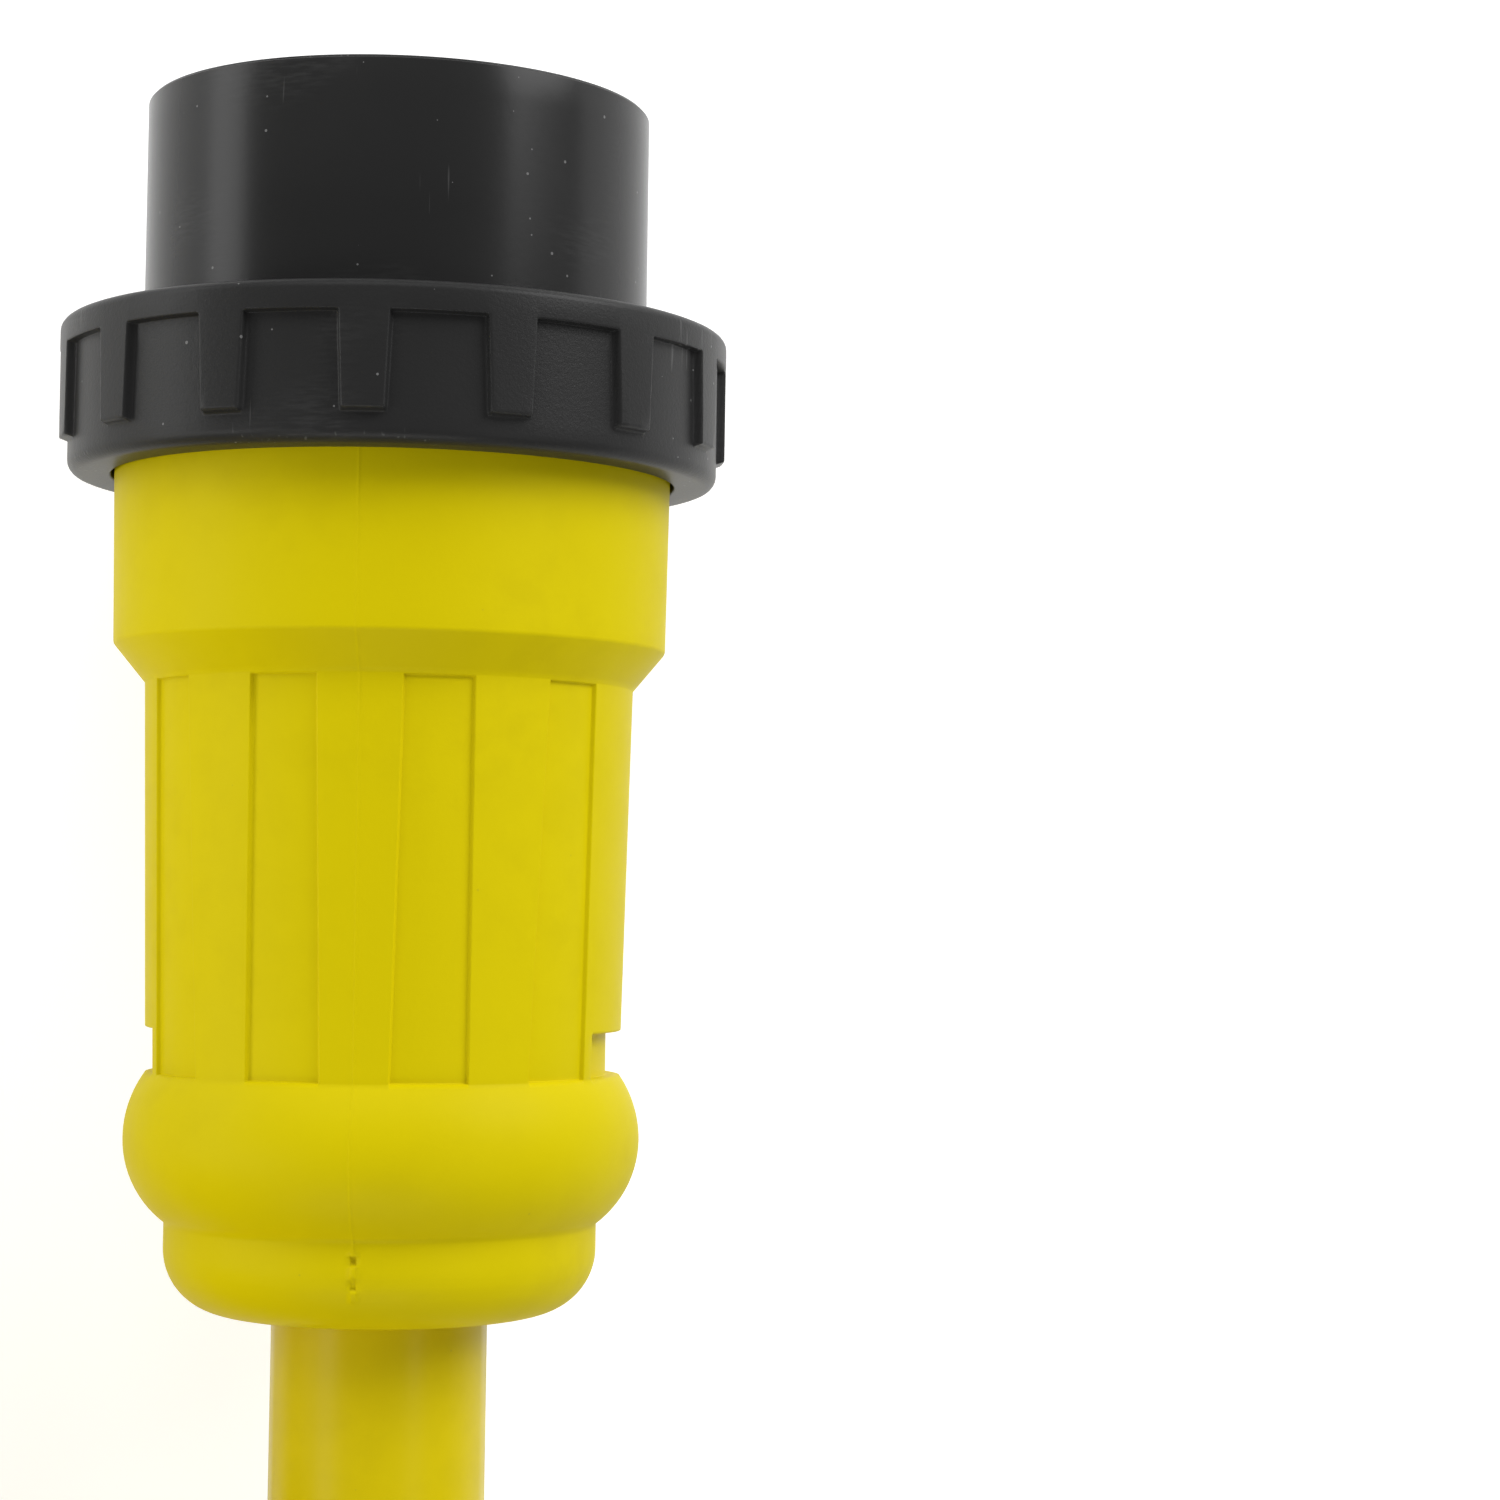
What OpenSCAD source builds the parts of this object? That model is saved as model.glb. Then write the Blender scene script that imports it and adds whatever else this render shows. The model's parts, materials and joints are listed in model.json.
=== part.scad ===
// Shore power cord: a locking plug, a jacketed cord laid in a neat coil, and a locking connector.
// Millimetres. Both ends lie along Y with their faces towards +Y and their rings on the floor, z = 0.
// The origin is under the middle of the plug. A head is drawn along its own +Z, from the boot's
// rear end at z = 0 to the front, and then laid down by at_plug() or at_connector().

/* [Cord] */
// Outside diameter of the cord's jacket
cord_d = 25; // [23:0.5:26]
// Outside diameter of one insulated conductor
wire_d = 8; // [6:0.25:8.5]
// Diameter of a conductor's bared copper
copper_d = 5; // [4:0.25:5.5]
// Radius of the coil, at the middle of its bundle of loops
coil_mid_r = 153; // [150:1:165]
// Loops in the coil; the half loop points its end back towards the plug
coil_loops = 7.5; // [5.5:1:7.5]
// Layers that the loops are piled in
coil_layers = 4; // [2:2:4]
// Gap between loops that lie side by side or on each other
loop_gap = 0.6; // [0.5:0.1:1.2]
// Width of the strap that ties the coil
tie_w = 25; // [15:1:40]
// Thickness of the strap that ties the coil
tie_t = 1.3; // [1:0.1:2.5]

/* [Boot] */
// Length of the round neck behind the bulge
neck_len = 10.4; // [9:0.1:16]
// Diameter of the neck
neck_d = 50; // [48:0.1:52]
// Rounding of the neck's rear edge
end_round = 7.4; // [4:0.1:8]
// Length of the bulge
bulge_len = 17.7; // [16:0.1:18.5]
// Largest diameter of the bulge
bulge_d = 59.7; // [59:0.1:62]
// Radius of the bulge's outline
bulge_round = 12; // [11.5:0.1:13]
// Length of the grip panels
grip_len = 44.4; // [42:0.1:55]
// Diameter of the grip at its rear end
grip_rear_d = 54.9; // [54.5:0.1:56]
// Diameter of the grip at its front end
grip_front_d = 56.8; // [56:0.1:58]
// Depth of the recessed grip panels
panel_depth = 0.5; // [0.2:0.05:0.8]
// Height of the two side windows
window_len = 4.8; // [3:0.1:8]
// Depth of the two side windows
window_depth = 1.65; // [1:0.05:1.8]
// Length of the cone between grip and collar
cone_len = 4.5; // [3:0.1:7]
// Length of the smooth collar, up to the front flange
collar_len = 22.8; // [21:0.1:26]
// Diameter of the collar at its rear edge
collar_rear_d = 64.2; // [63.5:0.1:64.6]
// Diameter of the collar under the ring
collar_front_d = 64.9; // [64.7:0.1:65.5]
// Width of the flange that stops the ring
flange_w = 2; // [1.5:0.1:3]

/* [Ring] */
// Outside diameter of the locking ring
ring_d = 77.7; // [76:0.1:80]
// Width of the locking ring
ring_w = 17.4; // [15:0.1:20]
// Width of the plain band at the ring's front
band_w = 3.3; // [2:0.1:4]
// Number of grip tabs round the ring
tab_count = 15; // [12:1:20]
// Length of a grip tab
tab_len = 10.7; // [8:0.1:11]
// Width of a grip tab
tab_w = 5.4; // [4:0.1:7]
// How far the grip tabs stand proud
tab_proud = 1.05; // [0.5:0.05:1.5]
// Diameter of the ring's threaded bore
thread_d = 67.5; // [66.8:0.1:69]
// Thickness of the ring's rear shoulder
shoulder_w = 3; // [2:0.1:4]

/* [Plug face] */
// Outside diameter of the shroud
shroud_d = 58.7; // [58:0.1:59]
// Wall of the shroud
shroud_wall = 2.3; // [2:0.1:2.6]
// How far the shroud stands out of the boot
shroud_reach = 38.5; // [36:0.1:45]
// Wall of the metal shell
shell_wall = 1.2; // [0.8:0.05:1.4]
// Depth of the insert's face below the rim
face_depth = 31; // [28:0.1:33]
// Thickness of the insert
insert_len = 14; // [12:0.1:16]
// Diameter of the blind centre hole
centre_hole_d = 7.2; // [5:0.1:9]
// Thickness of the blades
blade_t = 1.45; // [1.2:0.05:1.6]
// Depth of the blade tips below the rim
tip_depth = 2.8; // [1.5:0.1:5]
// Inner radius of the curved blades
blade_r = 12.3; // [11.8:0.1:12.8]
// Angle that the ground blade spans
ground_span = 58; // [50:1:62]
// Angle that the hot blade spans
hot_span = 42; // [36:1:46]
// Angle that the neutral blade spans
neutral_span = 32; // [28:1:34]
// Radius of the circle that the face screws are on
screw_circle_r = 22.5; // [22.2:0.1:22.8]

/* [Connector face] */
// Diameter of the connector's nose
nose_d = 50.8; // [50:0.1:51]
// How far the nose stands out of the boot
nose_reach = 24; // [20:0.1:30]

/* [Inside] */
// Thickness of the moulded flange that joins face and rear body
flange_t = 3; // [2.5:0.1:4]
// Length of the rear body's wide front part
wide_len = 14; // [13:0.1:15]
// Length of the rear body's narrow tail
tail_len = 38; // [34:0.5:40]
// Thickness of the wall that the blade tangs pass through
web_t = 4; // [3:0.1:5]
// Wall of the rear body's tail
tail_wall = 2.5; // [2:0.1:3]
// Length of the cord clamp
clamp_len = 12; // [10:0.5:14]
// Length of jacket inside a head
jacket_len = 56.5; // [55:0.5:59]
// Length of a box terminal
terminal_len = 8; // [7:0.1:8.5]
// Width of a blade's tang
tang_w = 9; // [8:0.1:9.4]

/* [Hidden] */
$fn = 96;

// Clearances
ring_gap = 0.35;      // the ring turns freely on the collar and behind the flange
seat_gap = 0.05;      // pieces that are pushed together by hand
hide_gap = 0.3;       // pieces that lie beside each other inside
blade_gap = 0.5;      // the blades stand loosely in their slots
bore_gap = 0.1;       // a round piece in the bore that holds it
overcut = 1;          // cutters reach this far past a face

// Stations along a head, from the boot's rear end
z_bulge = neck_len;
z_grip = z_bulge + bulge_len;
z_cone = z_grip + grip_len;
z_collar = z_cone + cone_len;
z_flange = z_collar + collar_len;
z_front = z_flange + flange_w;
plug_len = z_front + shroud_reach;
nose_len = z_front + nose_reach;
z_face = plug_len - face_depth;
z_insert = z_face - insert_len;
z_web = z_insert - flange_t;
z_cavity = z_web - web_t;
z_step = z_web - wide_len;
z_tail = z_step - tail_len;
z_shoulder = z_flange - ring_gap - shoulder_w;

// Radii
boot_wall = 2.1;
window_wall = 1.8;    // what the side windows leave of the boot's wall
grip_bore_r = grip_rear_d / 2 - window_depth - window_wall;
wide_r = collar_rear_d / 2 - boot_wall - seat_gap;
narrow_r = grip_bore_r - bore_gap;
cavity_r = 20.3;
cord_bore_r = cord_d / 2 + bore_gap;
shroud_bore_r = shroud_d / 2 - shroud_wall;
shell_r = shroud_bore_r - seat_gap;
insert_r = shell_r - shell_wall - bore_gap;
flange_bore_r = 18;
axis_z = ring_d / 2;

// Angles round the face, counter-clockwise as seen from the front
ground_angle = 185;
hot_angle = 63.5;
neutral_angle = -48;
screw_angles = [98, -83];
parting_angle = 84.5;

// A box terminal, the tang and the copper that it grips, by distance from the axis
tang_inset = 0.1;     // the tang stands this far out from the blade's inner face
tang_r = blade_r + tang_inset;
copper_r = tang_r - seat_gap - copper_d / 2;
box_wall = 2;
box_side_wall = 1.6;
box_in_r = copper_r - copper_d / 2 - seat_gap;
box_top_wall = 3;
screw_room = 1.1;     // room over the tang, where the set screw presses on it
box_out_r = tang_r + blade_t + screw_room;
box_half_w = tang_w / 2 + bore_gap;
box_floor_gap = 1;    // between the terminals and the floor of their cavity
z_box = z_cavity - box_floor_gap - terminal_len;
tang_end_gap = 0.5;   // the tang stops this far short of the terminal's rear face
bare_len = 3;         // bare copper behind the terminal
bare_reach = 2.5;     // the copper is this much longer than the terminal
wire_end_z = z_box - bare_len;
wire_spread = 0.625;  // the conductors leave the jacket on this share of their diameter
wire_start_r = wire_spread * wire_d;

// ---- Curves and tubes ----

// Points of an arc from angle a0 to a1, in n steps
function arc(cx, cy, r, a0, a1, n = 10) =
    [for (i = [0:n]) let (a = a0 + (a1 - a0) * i / n) [cx + r * cos(a), cy + r * sin(a)]];

function unit(v) = v / norm(v);
function blend(u) = let (c = min(1, max(0, u))) c * c * (3 - 2 * c);
function length_of(route) =
    len(route) < 2 ? 0 : sum([for (i = [1:len(route) - 1]) norm(route[i] - route[i - 1])]);
function sum(v, i = 0) = i >= len(v) ? 0 : v[i] + sum(v, i + 1);

// Rings of points square to a route, with a corner of each ring pointing along "up"
function rings(route, r, sides, up) =
    [for (i = [0:len(route) - 1])
        let (ahead = unit(route[min(i + 1, len(route) - 1)] - route[max(i - 1, 0)]),
             side = unit(cross(ahead, up)), top = cross(side, ahead))
        for (k = [0:sides - 1]) route[i] + r * (cos(360 * k / sides) * top
                                                + sin(360 * k / sides) * side)];

// Triangles between the rings, and a fan over each end
function skin(n, sides) = concat(
    [for (i = [0:n - 2], k = [0:sides - 1]) let (a = i * sides, b = (k + 1) % sides)
        [a + k, a + b, a + sides + k]],
    [for (i = [0:n - 2], k = [0:sides - 1]) let (a = i * sides, b = (k + 1) % sides)
        [a + b, a + sides + b, a + sides + k]],
    [for (k = [1:sides - 2]) [0, k + 1, k]],
    [for (k = [1:sides - 2]) (n - 1) * sides * [1, 1, 1] + [0, k, k + 1]]);

module tube(route, d, sides, up = [0, 0, 1])
    polyhedron(rings(route, d / 2, sides, up), skin(len(route), sides), convexity = 8);

// A block bent round the axis: from radius r0 to r1, angle a0 to a1 and height z0 to z1
module sector(r0, r1, a0, a1, z0, z1)
    rotate([0, 0, a0]) rotate_extrude(angle = a1 - a0)
        translate([r0, z0]) square([r1 - r0, z1 - z0]);

// ---- Where the heads lie ----

module at_plug() translate([0, -plug_len / 2, axis_z]) rotate([90, 0, 180]) children();
module at_connector() translate([connector_x, connector_y, axis_z]) rotate([90, 0, 180])
    mirror([1, 0, 0]) children();

// ---- The cord's route ----

// How the cord sinks, in shares of its fall, at distances from where it leaves the plug
lead_points = [[0, 0], [12, 0], [22, 0], [37, 0.03], [52, 0.125], [67, 0.28], [82, 0.5],
               [97, 0.72], [112, 0.875], [127, 0.97], [142, 1], [154, 1], [166, 1]];
// The same from the coil's top layer to the connector
tail_points = [[0, 0], [17, 0], [35, 0.03], [54, 0.125], [72, 0.28], [91, 0.5],
               [109, 0.72], [128, 0.875], [146, 0.97], [165, 1], [182, 1]];
tail_drift = 12;      // sideways, towards the plug, over the same fall

exit_y = -plug_len / 2;
loop_pitch = cord_d + loop_gap;
loops_a_layer = coil_loops / coil_layers;
coil_out_r = coil_mid_r + loop_pitch * loops_a_layer / 2;
coil_z = cord_d / 2 + tie_t + seat_gap;
coil_x = -coil_out_r;
coil_y = exit_y - lead_points[len(lead_points) - 1][0] - cord_d;
coil_top_z = coil_z + (coil_layers - 1) * loop_pitch;
connector_x = coil_x - coil_out_r + tail_drift;
connector_y = coil_y + cord_d + tail_points[len(tail_points) - 1][0];
loop_rings = 24;
climb_turns = 0.5;

lead_route = [for (p = lead_points) [0, exit_y - p[0], axis_z + p[1] * (coil_z - axis_z)]];
tail_route = [for (p = tail_points)
    [connector_x - (1 - p[1]) * tail_drift, coil_y + cord_d + p[0],
     coil_top_z + p[1] * (axis_z - coil_top_z)]];

// Distance from the coil's centre after t turns: in, out, in, out at a steady rate
function loop_r(t) = let (u = t / loops_a_layer, w = u - 2 * floor(u / 2))
    coil_out_r - loop_pitch * loops_a_layer * min(w, 2 - w);
// Height after t turns: one layer up in the half turn about each reversal
function loop_z(t) = coil_z + loop_pitch * sum([for (k = [1:coil_layers - 1])
    blend((t - k * loops_a_layer) / climb_turns + 0.5)]);
function loop_point(t) = [coil_x + loop_r(t) * cos(-360 * t),
                          coil_y + loop_r(t) * sin(-360 * t), loop_z(t)];
coil_steps = coil_loops * loop_rings;
coil_route = concat(
    [[0, coil_y + cord_d, coil_z]],
    [for (i = [0:coil_steps]) loop_point(i / loop_rings)],
    [[coil_x - coil_out_r, coil_y + cord_d, coil_top_z]]);

// Least distance between the coil's middle line and itself, two thirds of a turn or more away
near_rings = loop_rings * 2 / 3;
coil_least = min([for (i = [0:len(coil_route) - 1], j = [i + near_rings:1:len(coil_route) - 1])
    norm(coil_route[i] - coil_route[j])]);
echo(least_gap_of_the_coil_to_itself = coil_least - cord_d);
echo(cord_length = length_of(lead_route) + length_of(coil_route) + length_of(tail_route));

// ---- Boot ----

bulge_c_r = bulge_d / 2 - bulge_round;
bulge_c_z = z_bulge + sqrt(pow(bulge_round, 2) - pow(neck_d / 2 - bulge_c_r, 2));
bulge_a0 = -acos((neck_d / 2 - bulge_c_r) / bulge_round);
crease_h = 0.5;       // the bulge ends this far below the grip, in a short cone
crease_depth = 0.15;  // the cone's foot lies this far inside the panels' floor
crease_cut = 0.25;    // panels and windows run this far down into the cone
bulge_a1 = asin((z_grip - crease_h - bulge_c_z) / bulge_round);
function grip_r(z) = grip_rear_d / 2 + (grip_front_d - grip_rear_d) / 2 * (z - z_grip) / grip_len;

// Panels by angle from the parting line, on each side of it, front and back alike
panels = [[8.9, 26], [44, 61.4]];
window_angles = [65.2, 114.8];
panel_lip = 0.1;      // the panels end this far below the cone
collar_edge = 0.6;
tail_cover = 8;       // the wide bore runs this far behind the rear body
bore_taper = 9;       // and narrows to the cord over this length

module boot() color("gold") difference() {
    rotate_extrude() polygon(concat(
        [[cord_bore_r, 0]],
        arc(neck_d / 2 - end_round, end_round, end_round, -90, 0),
        arc(bulge_c_r, bulge_c_z, bulge_round, bulge_a0, bulge_a1, 18),
        [[grip_r(z_grip) - panel_depth - crease_depth, z_grip], [grip_r(z_grip), z_grip],
         [grip_front_d / 2, z_cone],
         [collar_rear_d / 2 - collar_edge, z_collar - collar_edge / 4],
         [collar_rear_d / 2, z_collar + collar_edge],
         [collar_front_d / 2, z_flange], [thread_d / 2 - ring_gap, z_flange],
         [thread_d / 2 - ring_gap, z_front], [shroud_d / 2 + bore_gap, z_front],
         [shroud_d / 2 + bore_gap, z_insert + hide_gap],
         [wide_r + seat_gap, z_insert + hide_gap],
         [wide_r + seat_gap, z_step - hide_gap], [grip_bore_r, z_step - hide_gap],
         [grip_bore_r, z_tail - tail_cover],
         [cord_bore_r, z_tail - tail_cover - bore_taper]]));
    for (front = [0, 180], side = [-1, 1], p = panels)
        rotate([0, 0, parting_angle + front + side * (p[0] + p[1]) / 2 - (p[1] - p[0]) / 2])
            rotate_extrude(angle = p[1] - p[0]) polygon([
                [grip_r(z_grip) - panel_depth, z_grip - crease_cut],
                [grip_r(z_grip) + overcut, z_grip - crease_cut],
                [grip_r(z_cone) + overcut, z_cone - panel_lip],
                [grip_r(z_cone) - panel_depth, z_cone - panel_lip]]);
    for (side = [0, 180])
        rotate([0, 0, parting_angle + side]) sector(
            grip_rear_d / 2 - window_depth, grip_front_d / 2 + overcut,
            window_angles[0], window_angles[1], z_grip - crease_cut, z_grip + window_len);
}

// ---- Locking ring ----

ring_edge = 1;
ring_rear_edge = 1.5;
tab_turn = -3.9;      // the tab nearest the top stands this far from it
tab_skin = 0.05;      // the tabs end this far inside the band's surface
tab_root = 1;         // the tabs start this far outside the bore

module ring() color("dimgray") {
    base_r = ring_d / 2 - tab_proud;
    shoulder_r = collar_front_d / 2 + ring_gap;
    z1 = z_shoulder + ring_w;
    half = tab_w / ring_d * 180 / PI;
    rotate_extrude() polygon(concat(
        [[shoulder_r, z_shoulder]],
        arc(base_r - ring_rear_edge, z_shoulder + ring_rear_edge, ring_rear_edge, -90, 0, 4),
        [[base_r, z1 - band_w], [ring_d / 2, z1 - band_w]],
        arc(ring_d / 2 - ring_edge, z1 - ring_edge, ring_edge, 0, 90, 4),
        [[thread_d / 2, z1], [thread_d / 2, z_shoulder + shoulder_w],
         [shoulder_r, z_shoulder + shoulder_w]]));
    for (i = [0:tab_count - 1]) rotate([0, 0, 90 + tab_turn + i * 360 / tab_count])
        sector(thread_d / 2 + tab_root, ring_d / 2 - tab_skin, -half, half,
               z1 - band_w - tab_len, z1 - band_w + ring_edge);
}

// A full ring of rectangular section
module sector_ring(r0, r1, z0, z1)
    rotate_extrude() translate([r0, z0]) square([r1 - r0, z1 - z0]);

// ---- Shroud, shell and insert ----

module face_screw_holes(r, z0, z1)
    for (a = screw_angles) rotate([0, 0, a]) translate([screw_circle_r, 0, z0])
        cylinder(r = r, h = z1 - z0);

screw_r = 1.4;
screw_hole_r = 1.6;
head_r = 2.2;
head_h = 1.8;
counterbore_r = 2.6;
counterbore_h = 2.2;
rim_edge = 0.4;

module shroud() color("dimgray") difference() {
    rotate_extrude() polygon([
        [flange_bore_r, z_web + seat_gap], [wide_r, z_web + seat_gap], [wide_r, z_insert],
        [shroud_d / 2, z_insert], [shroud_d / 2, plug_len - rim_edge],
        [shroud_d / 2 - rim_edge, plug_len], [shroud_bore_r, plug_len],
        [shroud_bore_r, z_insert], [flange_bore_r, z_insert]]);
    face_screw_holes(screw_hole_r, z_web - overcut, z_insert + overcut);
}

// Bayonet entries: [entry from, to, slot from, to] in degrees. An entry leads down to the middle
// of its slot's height, and the slot runs on below it to just short of the entry's far side.
entries = [[72.4, 91, 53.5, 88], [271, 285.3, 254, 282.6]];
slot_top = 11;        // depths below the rim
slot_bottom = 16;
shell_inset = 0.5;
entry_reach = 3;      // the cutters start this far inside the shell
lug_angles = [45.5, 243];
lug_r = 1.7;
lug_depths = [0.8, 14];

module shell() color("silver") {
    difference() {
        union() {
            sector_ring(shell_r - shell_wall, shell_r, z_insert + seat_gap, plug_len - shell_inset);
            intersection() {
                for (a = lug_angles) rotate([0, 0, a])
                    translate([shell_r - shell_wall / 2, 0, plug_len - lug_depths[1]])
                        cylinder(r = lug_r + shell_wall / 2, h = lug_depths[1] - lug_depths[0]);
                translate([0, 0, z_insert]) cylinder(r = shell_r, h = plug_len - z_insert);
            }
        }
        for (e = entries) {
            sector(insert_r - entry_reach, shell_r + overcut, e[0], e[1],
                   plug_len - (slot_top + slot_bottom) / 2, plug_len + overcut);
            sector(insert_r - entry_reach, shell_r + overcut, e[2], e[3],
                   plug_len - slot_bottom, plug_len - slot_top);
        }
    }
}

// Strap: a strip inside the shell, and two tabs that stand in pockets of the insert
strap_angles = [134, 165];
strap_t = 0.45;
strap_out_r = insert_r - seat_gap;
tab_angles = [141, 160];
strap_tab_w = 2.9;
strap_tab_t = 0.7;
strap_top = 2;        // depths below the rim
strap_tab_top = 6;
pocket_w = 4.2;
pocket_in = 3.6;
pocket_depth = 5;
notch_r = 3.5;
notch_angles = [45.2, 240];
notch_circle = insert_r + 1.3;
notch_depth = 6;
hole_edge = 0.6;
hole_floor = 2;
strap_play = 1;       // degrees that the strap's channel is longer than the strap, at each end

module insert() color("dimgray") difference() {
    translate([0, 0, z_insert]) cylinder(r = insert_r, h = insert_len);
    // Blind centre hole with a bevelled mouth
    translate([0, 0, z_insert + hole_floor]) cylinder(d = centre_hole_d, h = insert_len);
    translate([0, 0, z_face - hole_edge]) cylinder(d1 = centre_hole_d,
        d2 = centre_hole_d + 4 * hole_edge, h = 2 * hole_edge);
    for (b = blades) sector(blade_r - blade_gap, blade_r + blade_t + blade_gap,
        b[0] - b[2], b[0] + b[3], z_insert - overcut, z_face + overcut);
    neutral_hook(blade_gap / 2, z_insert - overcut, z_face + overcut);
    face_screw_holes(screw_hole_r, z_insert - overcut, z_face);
    face_screw_holes(counterbore_r, z_face - counterbore_h, z_face + overcut);
    for (a = notch_angles) rotate([0, 0, a]) translate([notch_circle, 0, z_face - notch_depth])
        cylinder(r = notch_r, h = notch_depth + overcut);
    sector(strap_out_r - strap_t - seat_gap, insert_r + overcut, strap_angles[0] - strap_play,
        strap_angles[1] + strap_play, z_insert - overcut, z_face + overcut);
    for (a = tab_angles) rotate([0, 0, a])
        translate([insert_r - pocket_in, -pocket_w / 2, z_face - pocket_depth])
            cube([pocket_in + overcut, pocket_w, pocket_depth + overcut]);
}

module ground_strap() color("silver") {
    sector(strap_out_r - strap_t, strap_out_r, strap_angles[0], strap_angles[1],
           z_insert + seat_gap, plug_len - strap_top);
    for (a = tab_angles) rotate([0, 0, a])
        translate([strap_out_r - strap_t - strap_tab_t, -strap_tab_w / 2,
                   z_face - pocket_depth + seat_gap])
            cube([strap_tab_t + strap_t / 2, strap_tab_w,
                  face_depth + pocket_depth - strap_tab_top]);
}

// ---- Blades and contacts ----

ground_play = [2, 2];   // degrees that each blade's slot runs past it, at its two ends
hot_play = [3, 8.5];
neutral_play = 4;
hook_angle = 24;        // past the neutral blade's centre, where its slot meets the hook's
// Centre angle, half span, and how far the slot in the insert runs each way from the centre
blades = [[ground_angle, ground_span / 2, ground_span / 2 + ground_play[0],
           ground_span / 2 + ground_play[1]],
          [hot_angle, hot_span / 2, hot_span / 2 + hot_play[0], hot_span / 2 + hot_play[1]],
          [neutral_angle, neutral_span / 2, hook_angle, neutral_span / 2 + neutral_play]];
base_t = flange_t - 2 * seat_gap;
base_in = 1.4;
base_out = 3;
base_extra = 5;
hook_w = 1.5;
hook_out_r = 15.8;
hook_skin = 0.05;     // the arc that carries the hook is this much thinner on each side
hook_drop = 1.2;      // the arc ends this far below the blade's tip

// The neutral blade's outward hook, grown by "grow" for the slot round it
module neutral_hook(grow, z0, z1)
    rotate([0, 0, neutral_angle - hook_angle])
        translate([blade_r - grow, -hook_w / 2 - grow, z0])
            cube([hook_out_r - blade_r + 2 * grow, hook_w + 2 * grow, z1 - z0]);

// Base plate between insert and rear body, and the tang that reaches into the terminal
module base_and_tang(angle, half) {
    sector(blade_r - base_in, blade_r + blade_t + base_out - base_in,
           angle - half - base_extra, angle + half + base_extra,
           z_web + seat_gap, z_web + seat_gap + base_t);
    rotate([0, 0, angle]) translate([tang_r, -tang_w / 2, z_box + tang_end_gap])
        cube([blade_t, tang_w, z_web + seat_gap + base_t / 2 - z_box - tang_end_gap]);
}

module blade(b) {
    sector(blade_r, blade_r + blade_t, b[0] - b[1], b[0] + b[1], z_web + base_t / 2,
           plug_len - tip_depth);
    base_and_tang(b[0], b[1]);
}

module blade_ground() color("silver") blade(blades[0]);
module blade_hot() color("silver") blade(blades[1]);
module blade_neutral() color("silver") {
    blade(blades[2]);
    sector(blade_r + hook_skin, blade_r + blade_t - hook_skin, neutral_angle - hook_angle,
           neutral_angle, z_web + base_t / 2, plug_len - tip_depth - hook_drop);
    neutral_hook(0, z_face - insert_len / 2, plug_len - tip_depth);
}

// Spring contact: two leaves, one on each side of where the blade enters, on the same base
leaf_t = 0.8;
leaf_gap = 0.1;
pocket_gap = 0.2;
slot_wall = 4;        // thickness of the nose's face over the contacts
contact_play = 1;     // degrees that a contact's pocket is longer than it, at each end

module contact(b) color("silver") {
    z1 = nose_len - slot_wall - hide_gap;
    for (r = [blade_r - leaf_gap - leaf_t, blade_r + blade_t + leaf_gap])
        sector(r, r + leaf_t, b[0] - b[1], b[0] + b[1], z_web + base_t / 2, z1);
    base_and_tang(b[0], b[1]);
}

// ---- Connector nose ----

nose_base_len = 5;
pin_r = 1.6;
pin_reach = 1.3;
pin_len = 2.4;
pin_angles = [82, 278];
pin_depth = 14;
nose_edge = 0.8;
groove_w = 5;
groove_t = 2;

module nose() color("dimgray") difference() {
    rotate_extrude() polygon([
        [0, z_insert], [flange_bore_r, z_insert], [flange_bore_r, z_web + seat_gap],
        [wide_r, z_web + seat_gap], [wide_r, z_insert], [shroud_d / 2, z_insert],
        [shroud_d / 2, z_front + nose_base_len], [nose_d / 2, z_front + nose_base_len],
        [nose_d / 2, nose_len - nose_edge], [nose_d / 2 - nose_edge, nose_len], [0, nose_len]]);
    for (b = blades) {
        sector(blade_r - blade_gap, blade_r + blade_t + blade_gap, b[0] - b[2], b[0] + b[3],
               nose_len - slot_wall - overcut, nose_len + overcut);
        sector(blade_r - leaf_gap - leaf_t - pocket_gap,
               blade_r + blade_t + leaf_gap + leaf_t + pocket_gap, b[0] - b[1] - contact_play,
               b[0] + b[1] + contact_play, z_insert - overcut, nose_len - slot_wall);
    }
    neutral_hook(blade_gap, nose_len - slot_wall - overcut, nose_len + overcut);
    face_screw_holes(screw_hole_r, z_web - overcut, nose_len);
    face_screw_holes(counterbore_r, nose_len - counterbore_h, nose_len + overcut);
    lock_pin_shapes(seat_gap / 2);
    // Grooves that clear the shell's two pressed lugs
    for (a = lug_angles) rotate([0, 0, a])
        translate([nose_d / 2 - groove_t, -groove_w / 2, z_front + nose_base_len])
            cube([groove_t + overcut, groove_w, nose_reach]);
}

module lock_pin_shapes(grow)
    for (a = pin_angles) rotate([0, 0, a])
        translate([nose_d / 2 + pin_reach - pin_len, 0, nose_len - pin_depth])
            rotate([0, 90, 0]) cylinder(r = pin_r + grow, h = pin_len + 2 * grow);

module lock_pins() color("silver") lock_pin_shapes(0);

// ---- Face screws ----

recess_w = 0.7;
recess_depth = 0.9;
recess_share = 0.65;  // the cross is this share of the head's width
screw_end = 6;        // the screws end this far below the web
screw_hole_end = 8;

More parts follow.
